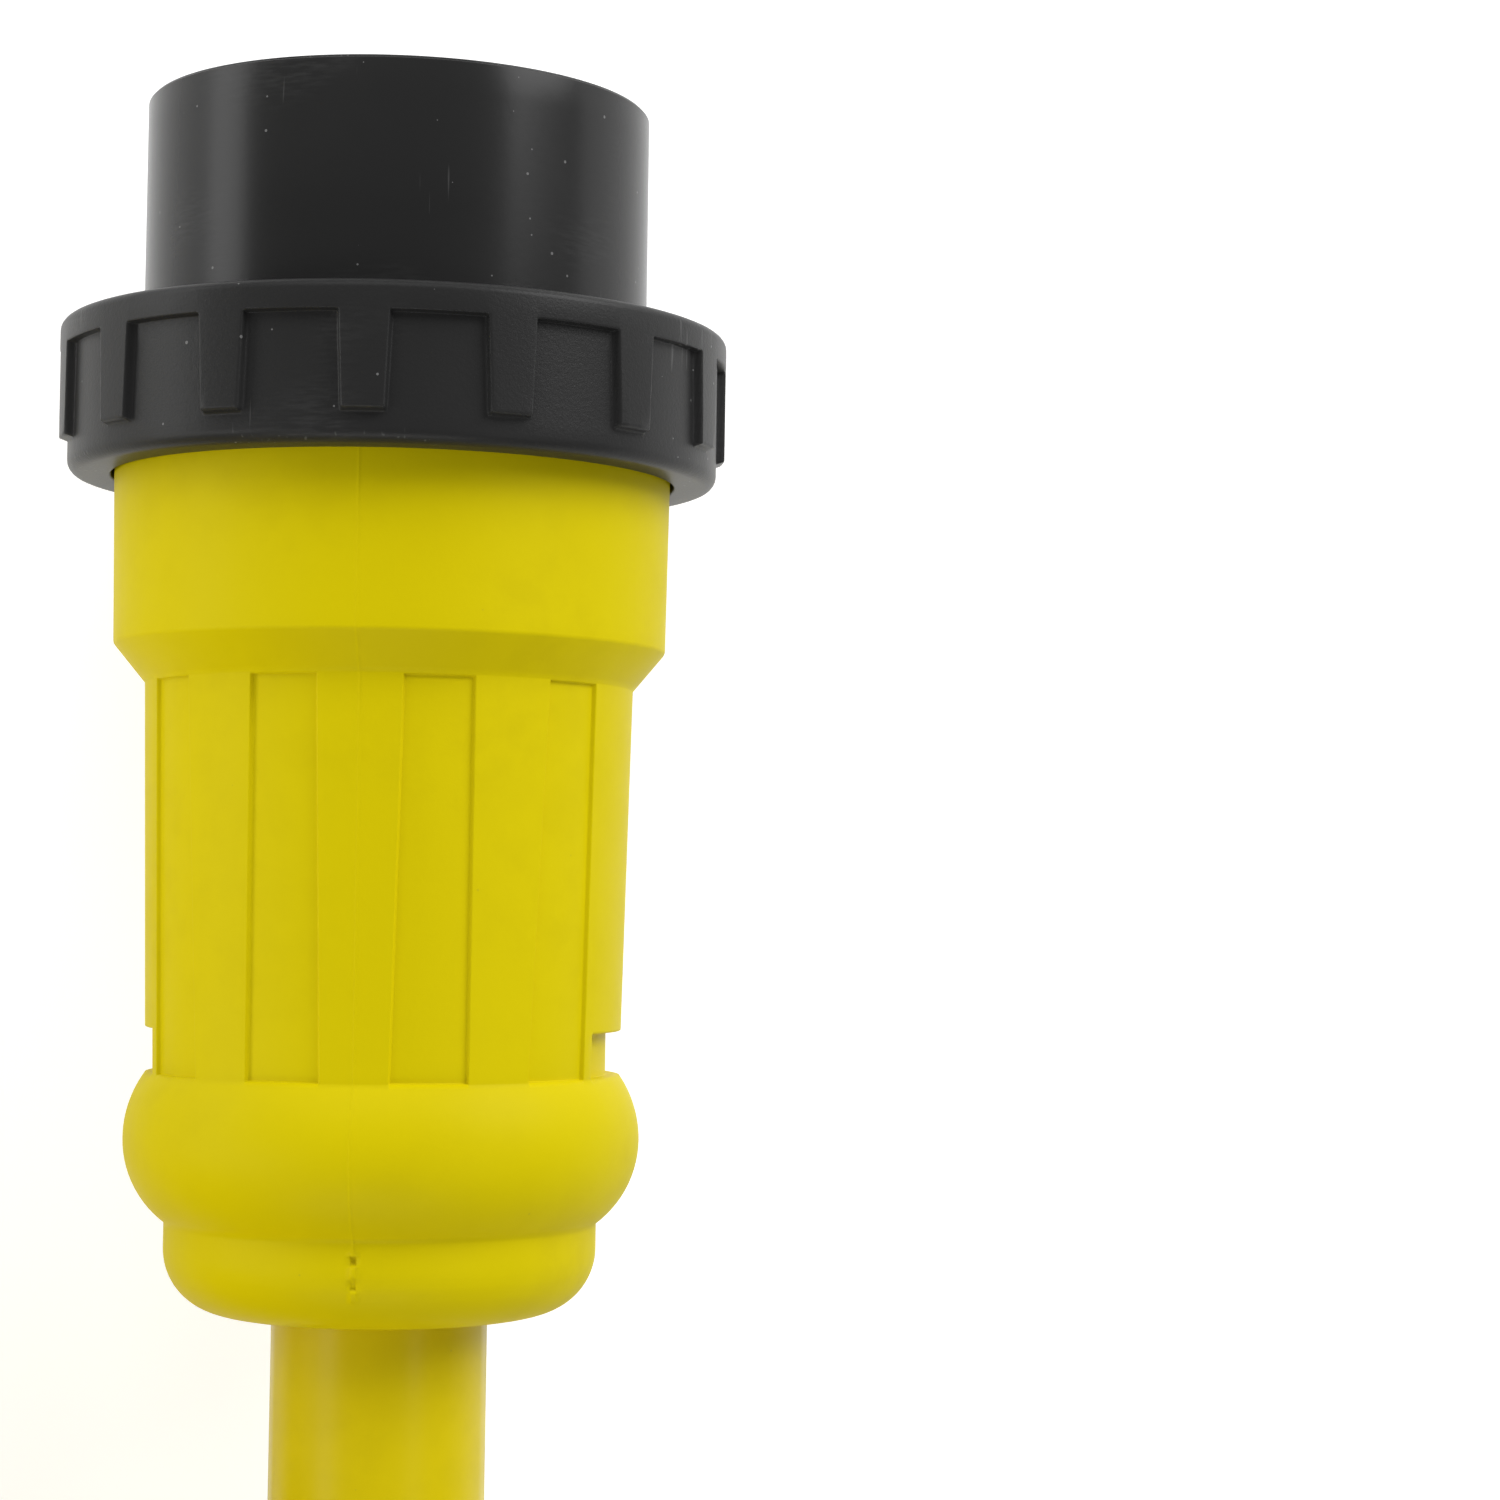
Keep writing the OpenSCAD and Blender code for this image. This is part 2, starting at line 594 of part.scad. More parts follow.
module face_screws(front) color("silver")
    for (a = screw_angles) rotate([0, 0, a]) translate([screw_circle_r, 0, 0]) difference() {
        union() {
            translate([0, 0, front - counterbore_h]) cylinder(r = head_r, h = head_h);
            translate([0, 0, z_cavity - screw_end]) cylinder(r = screw_r,
                h = front - counterbore_h - z_cavity + screw_end);
        }
        for (turn = [0, 90]) rotate([0, 0, turn])
            translate([-head_r * recess_share, -recess_w / 2,
                       front - counterbore_h + head_h - recess_depth])
                cube([2 * head_r * recess_share, recess_w, overcut + recess_depth]);
    }

// ---- Rear body, terminals and conductors ----

window_gap = 0.2;
access_w = 7;
clamp_screw_x = 16.4;

module rear_body() color("dimgray") difference() {
    union() {
        translate([0, 0, z_step]) cylinder(r = wide_r, h = wide_len);
        translate([0, 0, z_tail]) cylinder(r = narrow_r, h = tail_len + overcut);
    }
    translate([0, 0, z_step]) cylinder(r = cavity_r, h = z_cavity - z_step);
    translate([0, 0, z_tail - overcut]) cylinder(r = narrow_r - tail_wall, h = tail_len + overcut);
    for (b = blades) rotate([0, 0, b[0]])
        translate([tang_r - window_gap, -tang_w / 2 - window_gap, z_cavity - overcut])
            cube([blade_t + 2 * window_gap, tang_w + 2 * window_gap, web_t + 2 * overcut]);
    face_screw_holes(screw_r + seat_gap / 2, z_cavity - screw_hole_end, z_web + overcut);
    for (side = [-1, 1]) translate([side * clamp_screw_x - access_w / 2, 0,
        z_tail + clamp_len / 2 - access_w / 2]) cube([access_w, narrow_r + overcut, access_w]);
}

set_screw_r = 2.5;
set_screw_len = 5;
driver_w = 0.9;
driver_depth = 1;

module terminals() color("goldenrod") for (b = blades) rotate([0, 0, b[0]]) difference() {
    translate([box_in_r - box_wall, -box_half_w - box_side_wall, z_box])
        cube([box_out_r + box_top_wall - box_in_r + box_wall,
              2 * (box_half_w + box_side_wall), terminal_len]);
    translate([box_in_r, -box_half_w, z_box - overcut])
        cube([box_out_r - box_in_r, 2 * box_half_w, terminal_len + 2 * overcut]);
    translate([box_out_r - overcut, 0, z_box + terminal_len / 2]) rotate([0, 90, 0])
        cylinder(r = set_screw_r + seat_gap / 2, h = box_top_wall + 2 * overcut);
}

module terminal_screws() color("silver") for (b = blades) rotate([0, 0, b[0]])
    translate([tang_r + blade_t + seat_gap, 0, z_box + terminal_len / 2]) rotate([0, 90, 0])
        difference() {
            cylinder(r = set_screw_r, h = set_screw_len);
            translate([-set_screw_r - overcut, -driver_w / 2, set_screw_len - driver_depth])
                cube([2 * (set_screw_r + overcut), driver_w, driver_depth + overcut]);
        }

// A conductor spreads from the jacket's end to its terminal
wire_steps = 6;
wire_sides = 8;
wire_straight = 1;    // each end runs straight for this length, so that its face is square
function wire_route(a) = [for (i = [-1:wire_steps + 1]) let (u = min(1, max(0, i / wire_steps)),
    r = wire_start_r + (copper_r - wire_start_r) * blend(u),
    z = i < 0 ? jacket_len : i > wire_steps ? wire_end_z
        : jacket_len + wire_straight + u * (wire_end_z - jacket_len - 2 * wire_straight))
    [r * cos(a), r * sin(a), z]];
module conductor(a) tube(wire_route(a), wire_d, wire_sides, [cos(a), sin(a), 0]);
module conductor_green() color("green") conductor(ground_angle);
module conductor_black() color("black") conductor(hot_angle);
module conductor_white() color("white") conductor(neutral_angle);
module copper_ends() color("peru") for (b = blades) rotate([0, 0, b[0]])
    translate([copper_r, 0, wire_end_z]) cylinder(d = copper_d, h = terminal_len + bare_reach);

// ---- Cord clamp ----

clamp_r = narrow_r - tail_wall - bore_gap;
clamp_split = 1;      // half the gap between the clamp's halves
clamp_screw_r = 1.8;
clamp_head_r = 3;
clamp_head_h = 2.4;
clamp_seat = 6;
clamp_screw_end = -8; // from the middle of the clamp, as the seat is

module clamp_half(side) color("dimgray") difference() {
    translate([0, 0, z_tail + seat_gap]) cylinder(r = clamp_r, h = clamp_len);
    translate([0, 0, z_tail - overcut])
        cylinder(r = cord_d / 2 + seat_gap, h = clamp_len + 3 * overcut);
    translate([-clamp_r - overcut, side > 0 ? -2 * clamp_r + clamp_split : -clamp_split,
               z_tail - overcut]) cube([2 * (clamp_r + overcut), 2 * clamp_r,
                                        clamp_len + 3 * overcut]);
    for (x = [-1, 1]) translate([x * clamp_screw_x, 0, z_tail + clamp_len / 2])
        rotate([-90, 0, 0]) {
            translate([0, 0, clamp_screw_end - overcut]) cylinder(r = clamp_screw_r + seat_gap,
                h = clamp_r);
            if (side > 0) translate([0, 0, clamp_seat]) cylinder(r = clamp_head_r + seat_gap,
                h = clamp_r);
        }
}

module clamp_upper() clamp_half(1);
module clamp_lower() clamp_half(-1);
module clamp_screws() color("silver") for (x = [-1, 1])
    translate([x * clamp_screw_x, 0, z_tail + clamp_len / 2]) rotate([-90, 0, 0]) difference() {
        union() {
            translate([0, 0, clamp_screw_end]) cylinder(r = clamp_screw_r,
                h = clamp_seat - clamp_screw_end);
            translate([0, 0, clamp_seat]) cylinder(r = clamp_head_r, h = clamp_head_h);
        }
        translate([-clamp_head_r - overcut, -driver_w / 2,
                   clamp_seat + clamp_head_h - driver_depth])
            cube([2 * (clamp_head_r + overcut), driver_w, driver_depth + overcut]);
    }

// ---- Cord ----

module cord_end() color("gold") cylinder(d = cord_d, h = jacket_len);
cord_sides = 12;
loop_sides = 6;
module cord_lead() color("gold") tube(lead_route, cord_d, cord_sides);
module cord_coil() color("gold") tube(coil_route, cord_d, loop_sides);
module cord_tail() color("gold") tube(tail_route, cord_d, cord_sides);

// Strap round the bundle, a quarter turn past where the cord enters the coil. There the layers
// reach from "tie_in" to "tie_out", in loop pitches inside the coil's largest radius.
tie_in = 0.8 * loops_a_layer;
tie_out = 0.25;
module tie_outline(grow) hull()
    for (r = [coil_out_r - tie_in * loop_pitch, coil_out_r - tie_out * loop_pitch],
         z = [coil_z, coil_top_z]) translate([r, z]) circle(r = cord_d / 2 + grow, $fn = 32);
module coil_tie() color("black") translate([coil_x, coil_y, 0]) rotate([0, 0, -90])
    translate([0, tie_w / 2, 0]) rotate([90, 0, 0]) linear_extrude(tie_w) difference() {
        tie_outline(seat_gap + tie_t);
        tie_outline(seat_gap);
    }

at_plug() boot();  // plug_boot
at_plug() ring();  // plug_ring
at_plug() shroud();  // plug_shroud
at_plug() shell();  // plug_shell
at_plug() insert();  // plug_insert
at_plug() blade_ground();  // plug_blade_ground
at_plug() blade_hot();  // plug_blade_hot
at_plug() blade_neutral();  // plug_blade_neutral
at_plug() ground_strap();  // plug_ground_strap
at_plug() face_screws(z_face);  // plug_face_screws
at_plug() rear_body();  // plug_rear_body
at_plug() terminals();  // plug_terminals
at_plug() terminal_screws();  // plug_terminal_screws
at_plug() conductor_green();  // plug_conductor_green
at_plug() conductor_black();  // plug_conductor_black
at_plug() conductor_white();  // plug_conductor_white
at_plug() copper_ends();  // plug_copper_ends
at_plug() clamp_upper();  // plug_clamp_upper
at_plug() clamp_lower();  // plug_clamp_lower
at_plug() clamp_screws();  // plug_clamp_screws
at_plug() cord_end();  // plug_cord_end
cord_lead();
cord_coil();
cord_tail();
coil_tie();
at_connector() boot();  // connector_boot
at_connector() ring();  // connector_ring
at_connector() nose();  // connector_nose
at_connector() contact(blades[0]);  // connector_contact_ground
at_connector() contact(blades[1]);  // connector_contact_hot
at_connector() contact(blades[2]);  // connector_contact_neutral
at_connector() lock_pins();  // connector_lock_pins
at_connector() face_screws(nose_len);  // connector_face_screws
at_connector() rear_body();  // connector_rear_body
at_connector() terminals();  // connector_terminals
at_connector() terminal_screws();  // connector_terminal_screws
at_connector() conductor_green();  // connector_conductor_green
at_connector() conductor_black();  // connector_conductor_black
at_connector() conductor_white();  // connector_conductor_white
at_connector() copper_ends();  // connector_copper_ends
at_connector() clamp_upper();  // connector_clamp_upper
at_connector() clamp_lower();  // connector_clamp_lower
at_connector() clamp_screws();  // connector_clamp_screws
at_connector() cord_end();  // connector_cord_end
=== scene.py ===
"""A locking shore power cord: a plug, its yellow cord laid in a tied coil, and a connector."""
import json
import bmesh
import bpy
import numpy as np
from mathutils import Euler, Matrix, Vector


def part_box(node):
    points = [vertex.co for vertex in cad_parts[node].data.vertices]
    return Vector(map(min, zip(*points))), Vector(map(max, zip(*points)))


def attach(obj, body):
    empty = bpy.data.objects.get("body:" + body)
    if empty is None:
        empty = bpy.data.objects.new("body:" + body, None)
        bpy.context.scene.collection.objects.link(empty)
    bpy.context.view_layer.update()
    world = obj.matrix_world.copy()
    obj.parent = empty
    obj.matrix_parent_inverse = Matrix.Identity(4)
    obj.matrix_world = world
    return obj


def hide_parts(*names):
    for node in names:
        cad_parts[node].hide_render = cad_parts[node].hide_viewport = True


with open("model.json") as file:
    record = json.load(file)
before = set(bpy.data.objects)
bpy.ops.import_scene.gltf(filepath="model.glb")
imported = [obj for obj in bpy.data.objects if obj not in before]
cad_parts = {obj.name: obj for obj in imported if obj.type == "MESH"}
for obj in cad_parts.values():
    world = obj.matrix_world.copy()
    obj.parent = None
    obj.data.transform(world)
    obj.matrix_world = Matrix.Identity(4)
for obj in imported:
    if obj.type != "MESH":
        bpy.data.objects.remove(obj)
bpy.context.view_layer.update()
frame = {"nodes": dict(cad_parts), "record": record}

# ---- Floor, light and camera ----
# A pale seamless floor under a weak even sky. A long low lamp on the left, a broad one on the
# front right, and two raised ones beyond the two ends keep bright lights out of the pieces' tops.
# Two small lamps behind the plug make the gloss along the cord.

scene = bpy.context.scene
scene.view_settings.view_transform = "Standard"
floor_half, floor_grey, floor_lift = 6.0, 0.7, 0.66


def wired(tree, kind, feeds=(), **settings):
    """A new node with its settings, its inputs set or linked by name or number."""
    made = tree.nodes.new("ShaderNode" + kind)
    for key, value in settings.items():
        setattr(made, key, value)
    for key, value in dict(feeds).items():
        if isinstance(value, bpy.types.NodeSocket):
            tree.links.new(value, made.inputs[key])
        else:
            made.inputs[key].default_value = value
    return made


def blank_material(name):
    """A material with only its output node, and its tree."""
    material = bpy.data.materials.new(name)
    material.use_nodes = True
    tree = material.node_tree
    tree.nodes.clear()
    return material, tree, tree.nodes.new("ShaderNodeOutputMaterial")


def floor_material():
    """Diffuse, with a glow for camera, glossy and transmitted rays that lifts it to white."""
    material, tree, out = blank_material("pale_floor")
    diffuse = wired(tree, "BsdfDiffuse", {"Color": (floor_grey, floor_grey, floor_grey, 1)})
    rays = wired(tree, "LightPath").outputs
    bounced = wired(tree, "Math", {0: rays["Is Glossy Ray"], 1: rays["Is Transmission Ray"]},
                    operation="MAXIMUM")
    seen = wired(tree, "Math", {0: rays["Is Camera Ray"], 1: bounced.outputs[0]},
                 operation="MAXIMUM")
    lift = wired(tree, "Math", {0: seen.outputs[0], 1: floor_lift}, operation="MULTIPLY")
    glow = wired(tree, "Emission", {"Strength": lift.outputs[0]})
    both = wired(tree, "AddShader", {0: diffuse.outputs[0], 1: glow.outputs[0]})
    tree.links.new(both.outputs[0], out.inputs["Surface"])
    return material


floor_mesh = bpy.data.meshes.new("floor")
floor_corners = floor_half * np.array([[-1, -1, 0], [1, -1, 0], [1, 1, 0], [-1, 1, 0]])
floor_mesh.from_pydata(floor_corners.tolist(), [], [(0, 1, 2, 3)])
floor_mesh.materials.append(floor_material())
floor = bpy.data.objects.new("floor", floor_mesh)
scene.collection.objects.link(floor)

world = bpy.data.worlds.new("studio")
scene.world = world
world.use_nodes = True
sky = world.node_tree.nodes["Background"]
sky.inputs["Color"].default_value = (1, 1, 1, 1)
# How strongly the sky shines, and how bright it looks
sky_light, sky_seen = 0.22, 0.85
sky_strength = wired(world.node_tree, "MapRange", {
    "Value": wired(world.node_tree, "LightPath").outputs["Is Camera Ray"],
    "To Min": sky_light, "To Max": sky_seen})
world.node_tree.links.new(sky_strength.outputs[0], sky.inputs["Strength"])

# Each lamp's place, the point it faces, its width and height, and its power
lamps = {
    "lamp_left": ((-0.95, 0.2, 0.185), (0, 0, 0.12), 1.2, 0.33, 5.2),
    "lamp_right": ((0.95, 0.75, 0.5), (0, 0, 0.04), 0.8, 0.8, 13.5),
    "lamp_front": ((-0.2, 1.15, 0.95), (0, 0, 0.04), 1.4, 0.9, 8.0),
    "lamp_rear": ((-0.1, -1.2, 0.8), (0, 0, 0.04), 1.2, 0.6, 7.0),
    "strip_left": ((-0.77, -0.24, 0.58), (0, -0.09, 0.04), 0.26, 0.3, 1.2),
    "strip_right": ((0.62, -0.24, 0.76), (0, -0.09, 0.04), 0.2, 0.16, 0.35),
}
for lamp_name, (spot, target, wide, tall, power) in lamps.items():
    lamp = bpy.data.lights.new(lamp_name, "AREA")
    lamp.shape = "RECTANGLE"
    lamp.size, lamp.size_y, lamp.energy = wide, tall, power
    lamp_object = bpy.data.objects.new(lamp_name, lamp)
    lamp_object.location = spot
    lamp_object.rotation_euler = (Vector(target) - Vector(spot)).to_track_quat("-Z", "Y").to_euler()
    scene.collection.objects.link(lamp_object)

camera = bpy.data.objects.new("camera", bpy.data.cameras.new("camera"))
camera.data.sensor_width = 36
camera.data.lens = 80.32
camera.location = (0.00916, -0.02237, 0.43298)
camera.rotation_euler = Euler((0.04484, -0.08471, 0.01323), "XYZ")
scene.collection.objects.link(camera)
scene.camera = camera

# ---- Terminal housings, terminals, conductors and cord clamps ----
# Inside each boot a black moulded housing holds three brass box terminals. The bared copper of
# the green, black and white conductors is gripped there by set screws, and a two-part clamp
# with two screws holds the cord's jacket. These pieces keep their solids and get a finish.

body_of = {node: body for body, nodes in frame["record"]["behaviour"]["bodies"].items()
           for node in nodes}
slot_of = {part["node"]: part["material_slot"] for part in frame["record"]["subparts"]}


def effect(name, sockets, output):
    """An empty shader group with float or vector inputs and one float output."""
    group = bpy.data.node_groups.new(name, "ShaderNodeTree")
    for label, kind, value in sockets:
        socket = group.interface.new_socket(label, in_out="INPUT", socket_type="NodeSocket" + kind)
        if value is not None:
            socket.default_value = value
    group.interface.new_socket(output, in_out="OUTPUT", socket_type="NodeSocketFloat")
    return group, group.nodes.new("NodeGroupInput").outputs, group.nodes.new("NodeGroupOutput")


def grain_group():
    """Fine uneven height of a moulded surface: noise at two scales, the finer one weaker."""
    group, given, out = effect("moulded_grain", [("Vector", "Vector", None),
                                                 ("Scale", "Float", 2500.0)], "Height")
    coarse = wired(group, "TexNoise", {"Vector": given["Vector"], "Scale": given["Scale"],
                                       "Detail": 2.0, "Roughness": 0.6})
    finer = wired(group, "Math", {0: given["Scale"], 1: 2.7}, operation="MULTIPLY")
    fine = wired(group, "TexNoise", {"Vector": given["Vector"], "Scale": finer.outputs[0],
                                     "Detail": 1.0})
    both = wired(group, "Math", {0: fine.outputs[0], 1: 0.45, 2: coarse.outputs[0]},
                 operation="MULTIPLY_ADD")
    group.links.new(both.outputs[0], out.inputs["Height"])
    return group


def marks_group():
    """Soft patches where hands and storage have changed the surface: stretched noise contrast."""
    group, given, out = effect("handling_marks", [("Vector", "Vector", None),
                                                  ("Scale", "Float", 30.0)], "Mask")
    noise = wired(group, "TexNoise", {"Vector": given["Vector"], "Scale": given["Scale"],
                                      "Detail": 3.0, "Roughness": 0.55})
    mask = wired(group, "MapRange", {"Value": noise.outputs[0], "From Min": 0.34,
                                     "From Max": 0.7}, interpolation_type="SMOOTHSTEP")
    group.links.new(mask.outputs[0], out.inputs["Mask"])
    return group


def dust_group():
    """Specks and short scratches: small spots in some cells, and thresholded drawn-out noise."""
    group, given, out = effect("dust_and_scratches", [("Vector", "Vector", None),
                                                      ("Speck Scale", "Float", 480.0),
                                                      ("Share", "Float", 0.3),
                                                      ("Scratches", "Float", 0.5)], "Mask")
    cells = wired(group, "TexVoronoi", {"Vector": given["Vector"], "Scale": given["Speck Scale"]})
    chance = wired(group, "SeparateColor", {0: cells.outputs["Color"]}).outputs
    chosen = wired(group, "Math", {0: chance[0], 1: given["Share"]}, operation="LESS_THAN")
    size = wired(group, "MapRange", {"Value": chance[1], "To Min": 0.03, "To Max": 0.09})
    spot = wired(group, "Math", {0: cells.outputs["Distance"], 1: size.outputs[0]},
                 operation="LESS_THAN")
    specks = wired(group, "Math", {0: spot.outputs[0], 1: chosen.outputs[0]},
                   operation="MULTIPLY")
    drawn = wired(group, "Mapping", {"Vector": given["Vector"], "Scale": (2600, 130, 2600)})
    lines = wired(group, "TexNoise", {"Vector": drawn.outputs[0], "Scale": 1.0, "Detail": 0.0})
    rare = wired(group, "TexNoise", {"Vector": given["Vector"], "Scale": 60.0, "Detail": 1.0})
    product = wired(group, "Math", {0: lines.outputs[0], 1: rare.outputs[0]},
                    operation="MULTIPLY")
    scratch = wired(group, "MapRange", {"Value": product.outputs[0], "From Min": 0.48,
                                        "From Max": 0.54, "To Max": given["Scratches"]})
    total = wired(group, "Math", {0: specks.outputs[0], 1: scratch.outputs[0]},
                  operation="MAXIMUM")
    group.links.new(total.outputs[0], out.inputs["Mask"])
    return group


def wear_group():
    """Worn edges: the mesh's pointiness above its mean, broken up by noise."""
    group, given, out = effect("edge_wear", [("Vector", "Vector", None)], "Mask")
    edge = wired(group, "NewGeometry").outputs["Pointiness"]
    sharp = wired(group, "MapRange", {"Value": edge, "From Min": 0.52, "From Max": 0.62})
    noise = wired(group, "TexNoise", {"Vector": given["Vector"], "Scale": 700.0, "Detail": 3.0})
    mask = wired(group, "Math", {0: sharp.outputs[0], 1: noise.outputs[0]}, operation="MULTIPLY")
    group.links.new(mask.outputs[0], out.inputs["Mask"])
    return group


def scuff_group():
    """Hazy rubbed places: fine scratches that run round the piece, inside soft patches."""
    group, given, out = effect("hazy_scuffs", [("Vector", "Vector", None),
                                               ("Scale", "Float", 42.0)], "Mask")
    noise = wired(group, "TexNoise", {"Vector": given["Vector"], "Scale": given["Scale"],
                                      "Detail": 2.0})
    patch = wired(group, "MapRange", {"Value": noise.outputs[0], "From Min": 0.55,
                                      "From Max": 0.75}, interpolation_type="SMOOTHSTEP")
    drawn = wired(group, "Mapping", {"Vector": given["Vector"], "Scale": (420, 2600, 420)})
    fine = wired(group, "TexNoise", {"Vector": drawn.outputs[0], "Scale": 1.0, "Detail": 3.0})
    lines = wired(group, "MapRange", {"Value": fine.outputs[0], "From Min": 0.4, "From Max": 0.75})
    mask = wired(group, "Math", {0: patch.outputs[0], 1: lines.outputs[0]}, operation="MULTIPLY")
    group.links.new(mask.outputs[0], out.inputs["Mask"])
    return group


GRAIN, MARKS, DUST, WEAR = grain_group(), marks_group(), dust_group(), wear_group()
SCUFFS = scuff_group()


def apply_effect(tree, group, place, **values):
    """A shared effect in a material, with its own values; gives its one output."""
    used = tree.nodes.new("ShaderNodeGroup")
    used.node_tree = group
    tree.links.new(place, used.inputs["Vector"])
    for key, value in values.items():
        used.inputs[key.replace("_", " ").title()].default_value = value
    return used.outputs[0]


def mixed(tree, factor, first, second):
    """A colour between two, each a colour or a socket, by a mask."""
    return wired(tree, "Mix", {0: factor, 6: first, 7: second}, data_type="RGBA").outputs[2]


def bumped(tree, height, metres):
    """The normal of a height mask that is so many metres deep."""
    return wired(tree, "Bump", {"Height": height, "Distance": metres}).outputs["Normal"]


def remapped(tree, value, low, high):
    """A mask turned into a value from low to high."""
    return wired(tree, "MapRange", {"Value": value, "To Min": low, "To Max": high}).outputs[0]


def surfaced(name, place_feeds, **constants):
    """A Principled material: place_feeds(tree, place) gives its linked inputs by name."""
    material, tree, out = blank_material(name)
    place = wired(tree, "TexCoord").outputs["Object"]
    shader = wired(tree, "BsdfPrincipled", place_feeds(tree, place))
    for key, value in constants.items():
        shader.inputs[key.replace("_", " ")].default_value = value
    tree.links.new(shader.outputs[0], out.inputs["Surface"])
    return material


# How much lighter a handled patch and a rubbed place are than the plain colour
patch_gain, rub_gain, rub_lift = 1.06, 1.7, 0.006


def plastic(name, colour, worn, rough, grain_scale, grain_depth, share=0.25, wear=0.5, **constants):
    """Black or coloured moulded plastic: grain, handling marks, scuffs, dust and pale edges."""
    def feeds(tree, place):
        marks = apply_effect(tree, MARKS, place, scale=45.0)
        dust = apply_effect(tree, DUST, place, share=share, scratches=0.35)
        scuffs = apply_effect(tree, SCUFFS, place)
        edges = apply_effect(tree, WEAR, place)
        dull = wired(tree, "Math", {0: edges, 1: wear}, operation="MULTIPLY").outputs[0]
        most = wired(tree, "Math", {0: dull, 1: dust}, operation="MAXIMUM").outputs[0]
        patched = mixed(tree, marks, (*colour, 1), (*(c * patch_gain for c in colour), 1))
        rubbed = mixed(tree, scuffs, patched, (*(c * rub_gain + rub_lift for c in colour), 1))
        grain = apply_effect(tree, GRAIN, place, scale=grain_scale)
        return {"Base Color": mixed(tree, most, rubbed, (*worn, 1)),
                "Roughness": remapped(tree, marks, rough, rough + 0.02),
                "Normal": bumped(tree, grain, grain_depth)}
    return surfaced(name, feeds, **constants)


def metal(name, colour, tarnish, rough, share, ripple=2.0e-5):
    """Plated or bare metal: tarnished patches, uneven gloss and a faintly rippled surface."""
    def feeds(tree, place):
        patches = apply_effect(tree, MARKS, place, scale=160.0)
        amount = wired(tree, "Math", {0: patches, 1: share}, operation="MULTIPLY").outputs[0]
        grain = apply_effect(tree, GRAIN, place, scale=900.0)
        return {"Base Color": mixed(tree, amount, (*colour, 1), (*tarnish, 1)),
                "Roughness": remapped(tree, patches, rough, rough + 0.16),
                "Normal": bumped(tree, grain, ripple)}
    return surfaced(name, feeds, Metallic=1.0)


def copper_material():
    """Bare stranded copper: fine strands along the wire, with darker gaps between them."""
    def feeds(tree, place):
        drawn = wired(tree, "Mapping", {"Vector": place, "Scale": (2400, 60, 2400)})
        strands = wired(tree, "TexNoise", {"Vector": drawn.outputs[0], "Scale": 1.0}).outputs[0]
        return {"Base Color": mixed(tree, strands, (0.5, 0.2, 0.1, 1), (0.8, 0.42, 0.25, 1)),
                "Roughness": remapped(tree, strands, 0.45, 0.3),
                "Normal": bumped(tree, strands, 8.0e-5)}
    return surfaced("bare_copper", feeds, Metallic=1.0)


finishes = {
    "housing_plastic": plastic("housing_black", (0.03, 0.03, 0.031), (0.1, 0.1, 0.1), 0.45,
                               2600.0, 3.0e-5),
    "face_plastic": plastic("face_black", (0.026, 0.026, 0.026), (0.11, 0.11, 0.11), 0.42,
                            3000.0, 2.0e-5),
    "terminal_brass": metal("terminal_brass", (0.66, 0.48, 0.2), (0.4, 0.24, 0.09), 0.28, 0.6),
    "screw_steel": metal("screw_zinc", (0.52, 0.49, 0.44), (0.2, 0.15, 0.1), 0.34, 0.75),
    "nickel_blade": metal("blade_nickel", (0.66, 0.62, 0.55), (0.42, 0.35, 0.27), 0.2, 0.4),
    "nickel_shell": metal("shell_nickel", (0.68, 0.64, 0.57), (0.4, 0.33, 0.25), 0.16, 0.35,
                          4.0e-5),
    "insulation_green": plastic("wire_green", (0.02, 0.2, 0.05), (0.08, 0.26, 0.1), 0.32,
                                2000.0, 1.0e-5),
    "insulation_black": plastic("wire_black", (0.02, 0.02, 0.02), (0.08, 0.08, 0.08), 0.32,
                                2000.0, 1.0e-5),
    "insulation_white": plastic("wire_white", (0.72, 0.72, 0.69), (0.6, 0.58, 0.52), 0.34,
                                2000.0, 1.0e-5),
    "copper_wire": copper_material(),
}


def dressed(piece, material):
    """Gives a piece one material."""
    piece.data.materials.clear()
    piece.data.materials.append(material)
    return piece


for node, cad in frame["nodes"].items():
    if slot_of[node] in finishes:
        dressed(cad, finishes[slot_of[node]])

# ---- Boots ----
# The boot is one piece of yellow moulded rubber with a neck, a bulge, a grip with recessed
# panels and two side windows, a cone and a smooth collar. It is pushed over the housing, and a
# thin flash line marks where its mould parted.

mm = 0.001
HANDS = {"plug": -1, "connector": 1}
HEADS = {}
for head in HANDS:
    boot_low, boot_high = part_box(head + "_boot")
    HEADS[head] = ((boot_low.x + boot_high.x) / 2, boot_low.y, (boot_low.z + boot_high.z) / 2)


def placed(head, r, z, degrees):
    """Points of a head in the shared frame. r and z are its radius and station in mm, from the
    boot's rear end, and degrees run counter-clockwise as the plug's face is seen; the
    connector is the mirror image. x = r cos a, up = r sin a, and the station runs along +Y."""
    r, z, a = np.broadcast_arrays(r, z, np.radians(degrees))
    x, y, up = HEADS[head]
    return np.stack([x + HANDS[head] * r * np.cos(a) * mm, y + z * mm,
                     up + r * np.sin(a) * mm], -1)


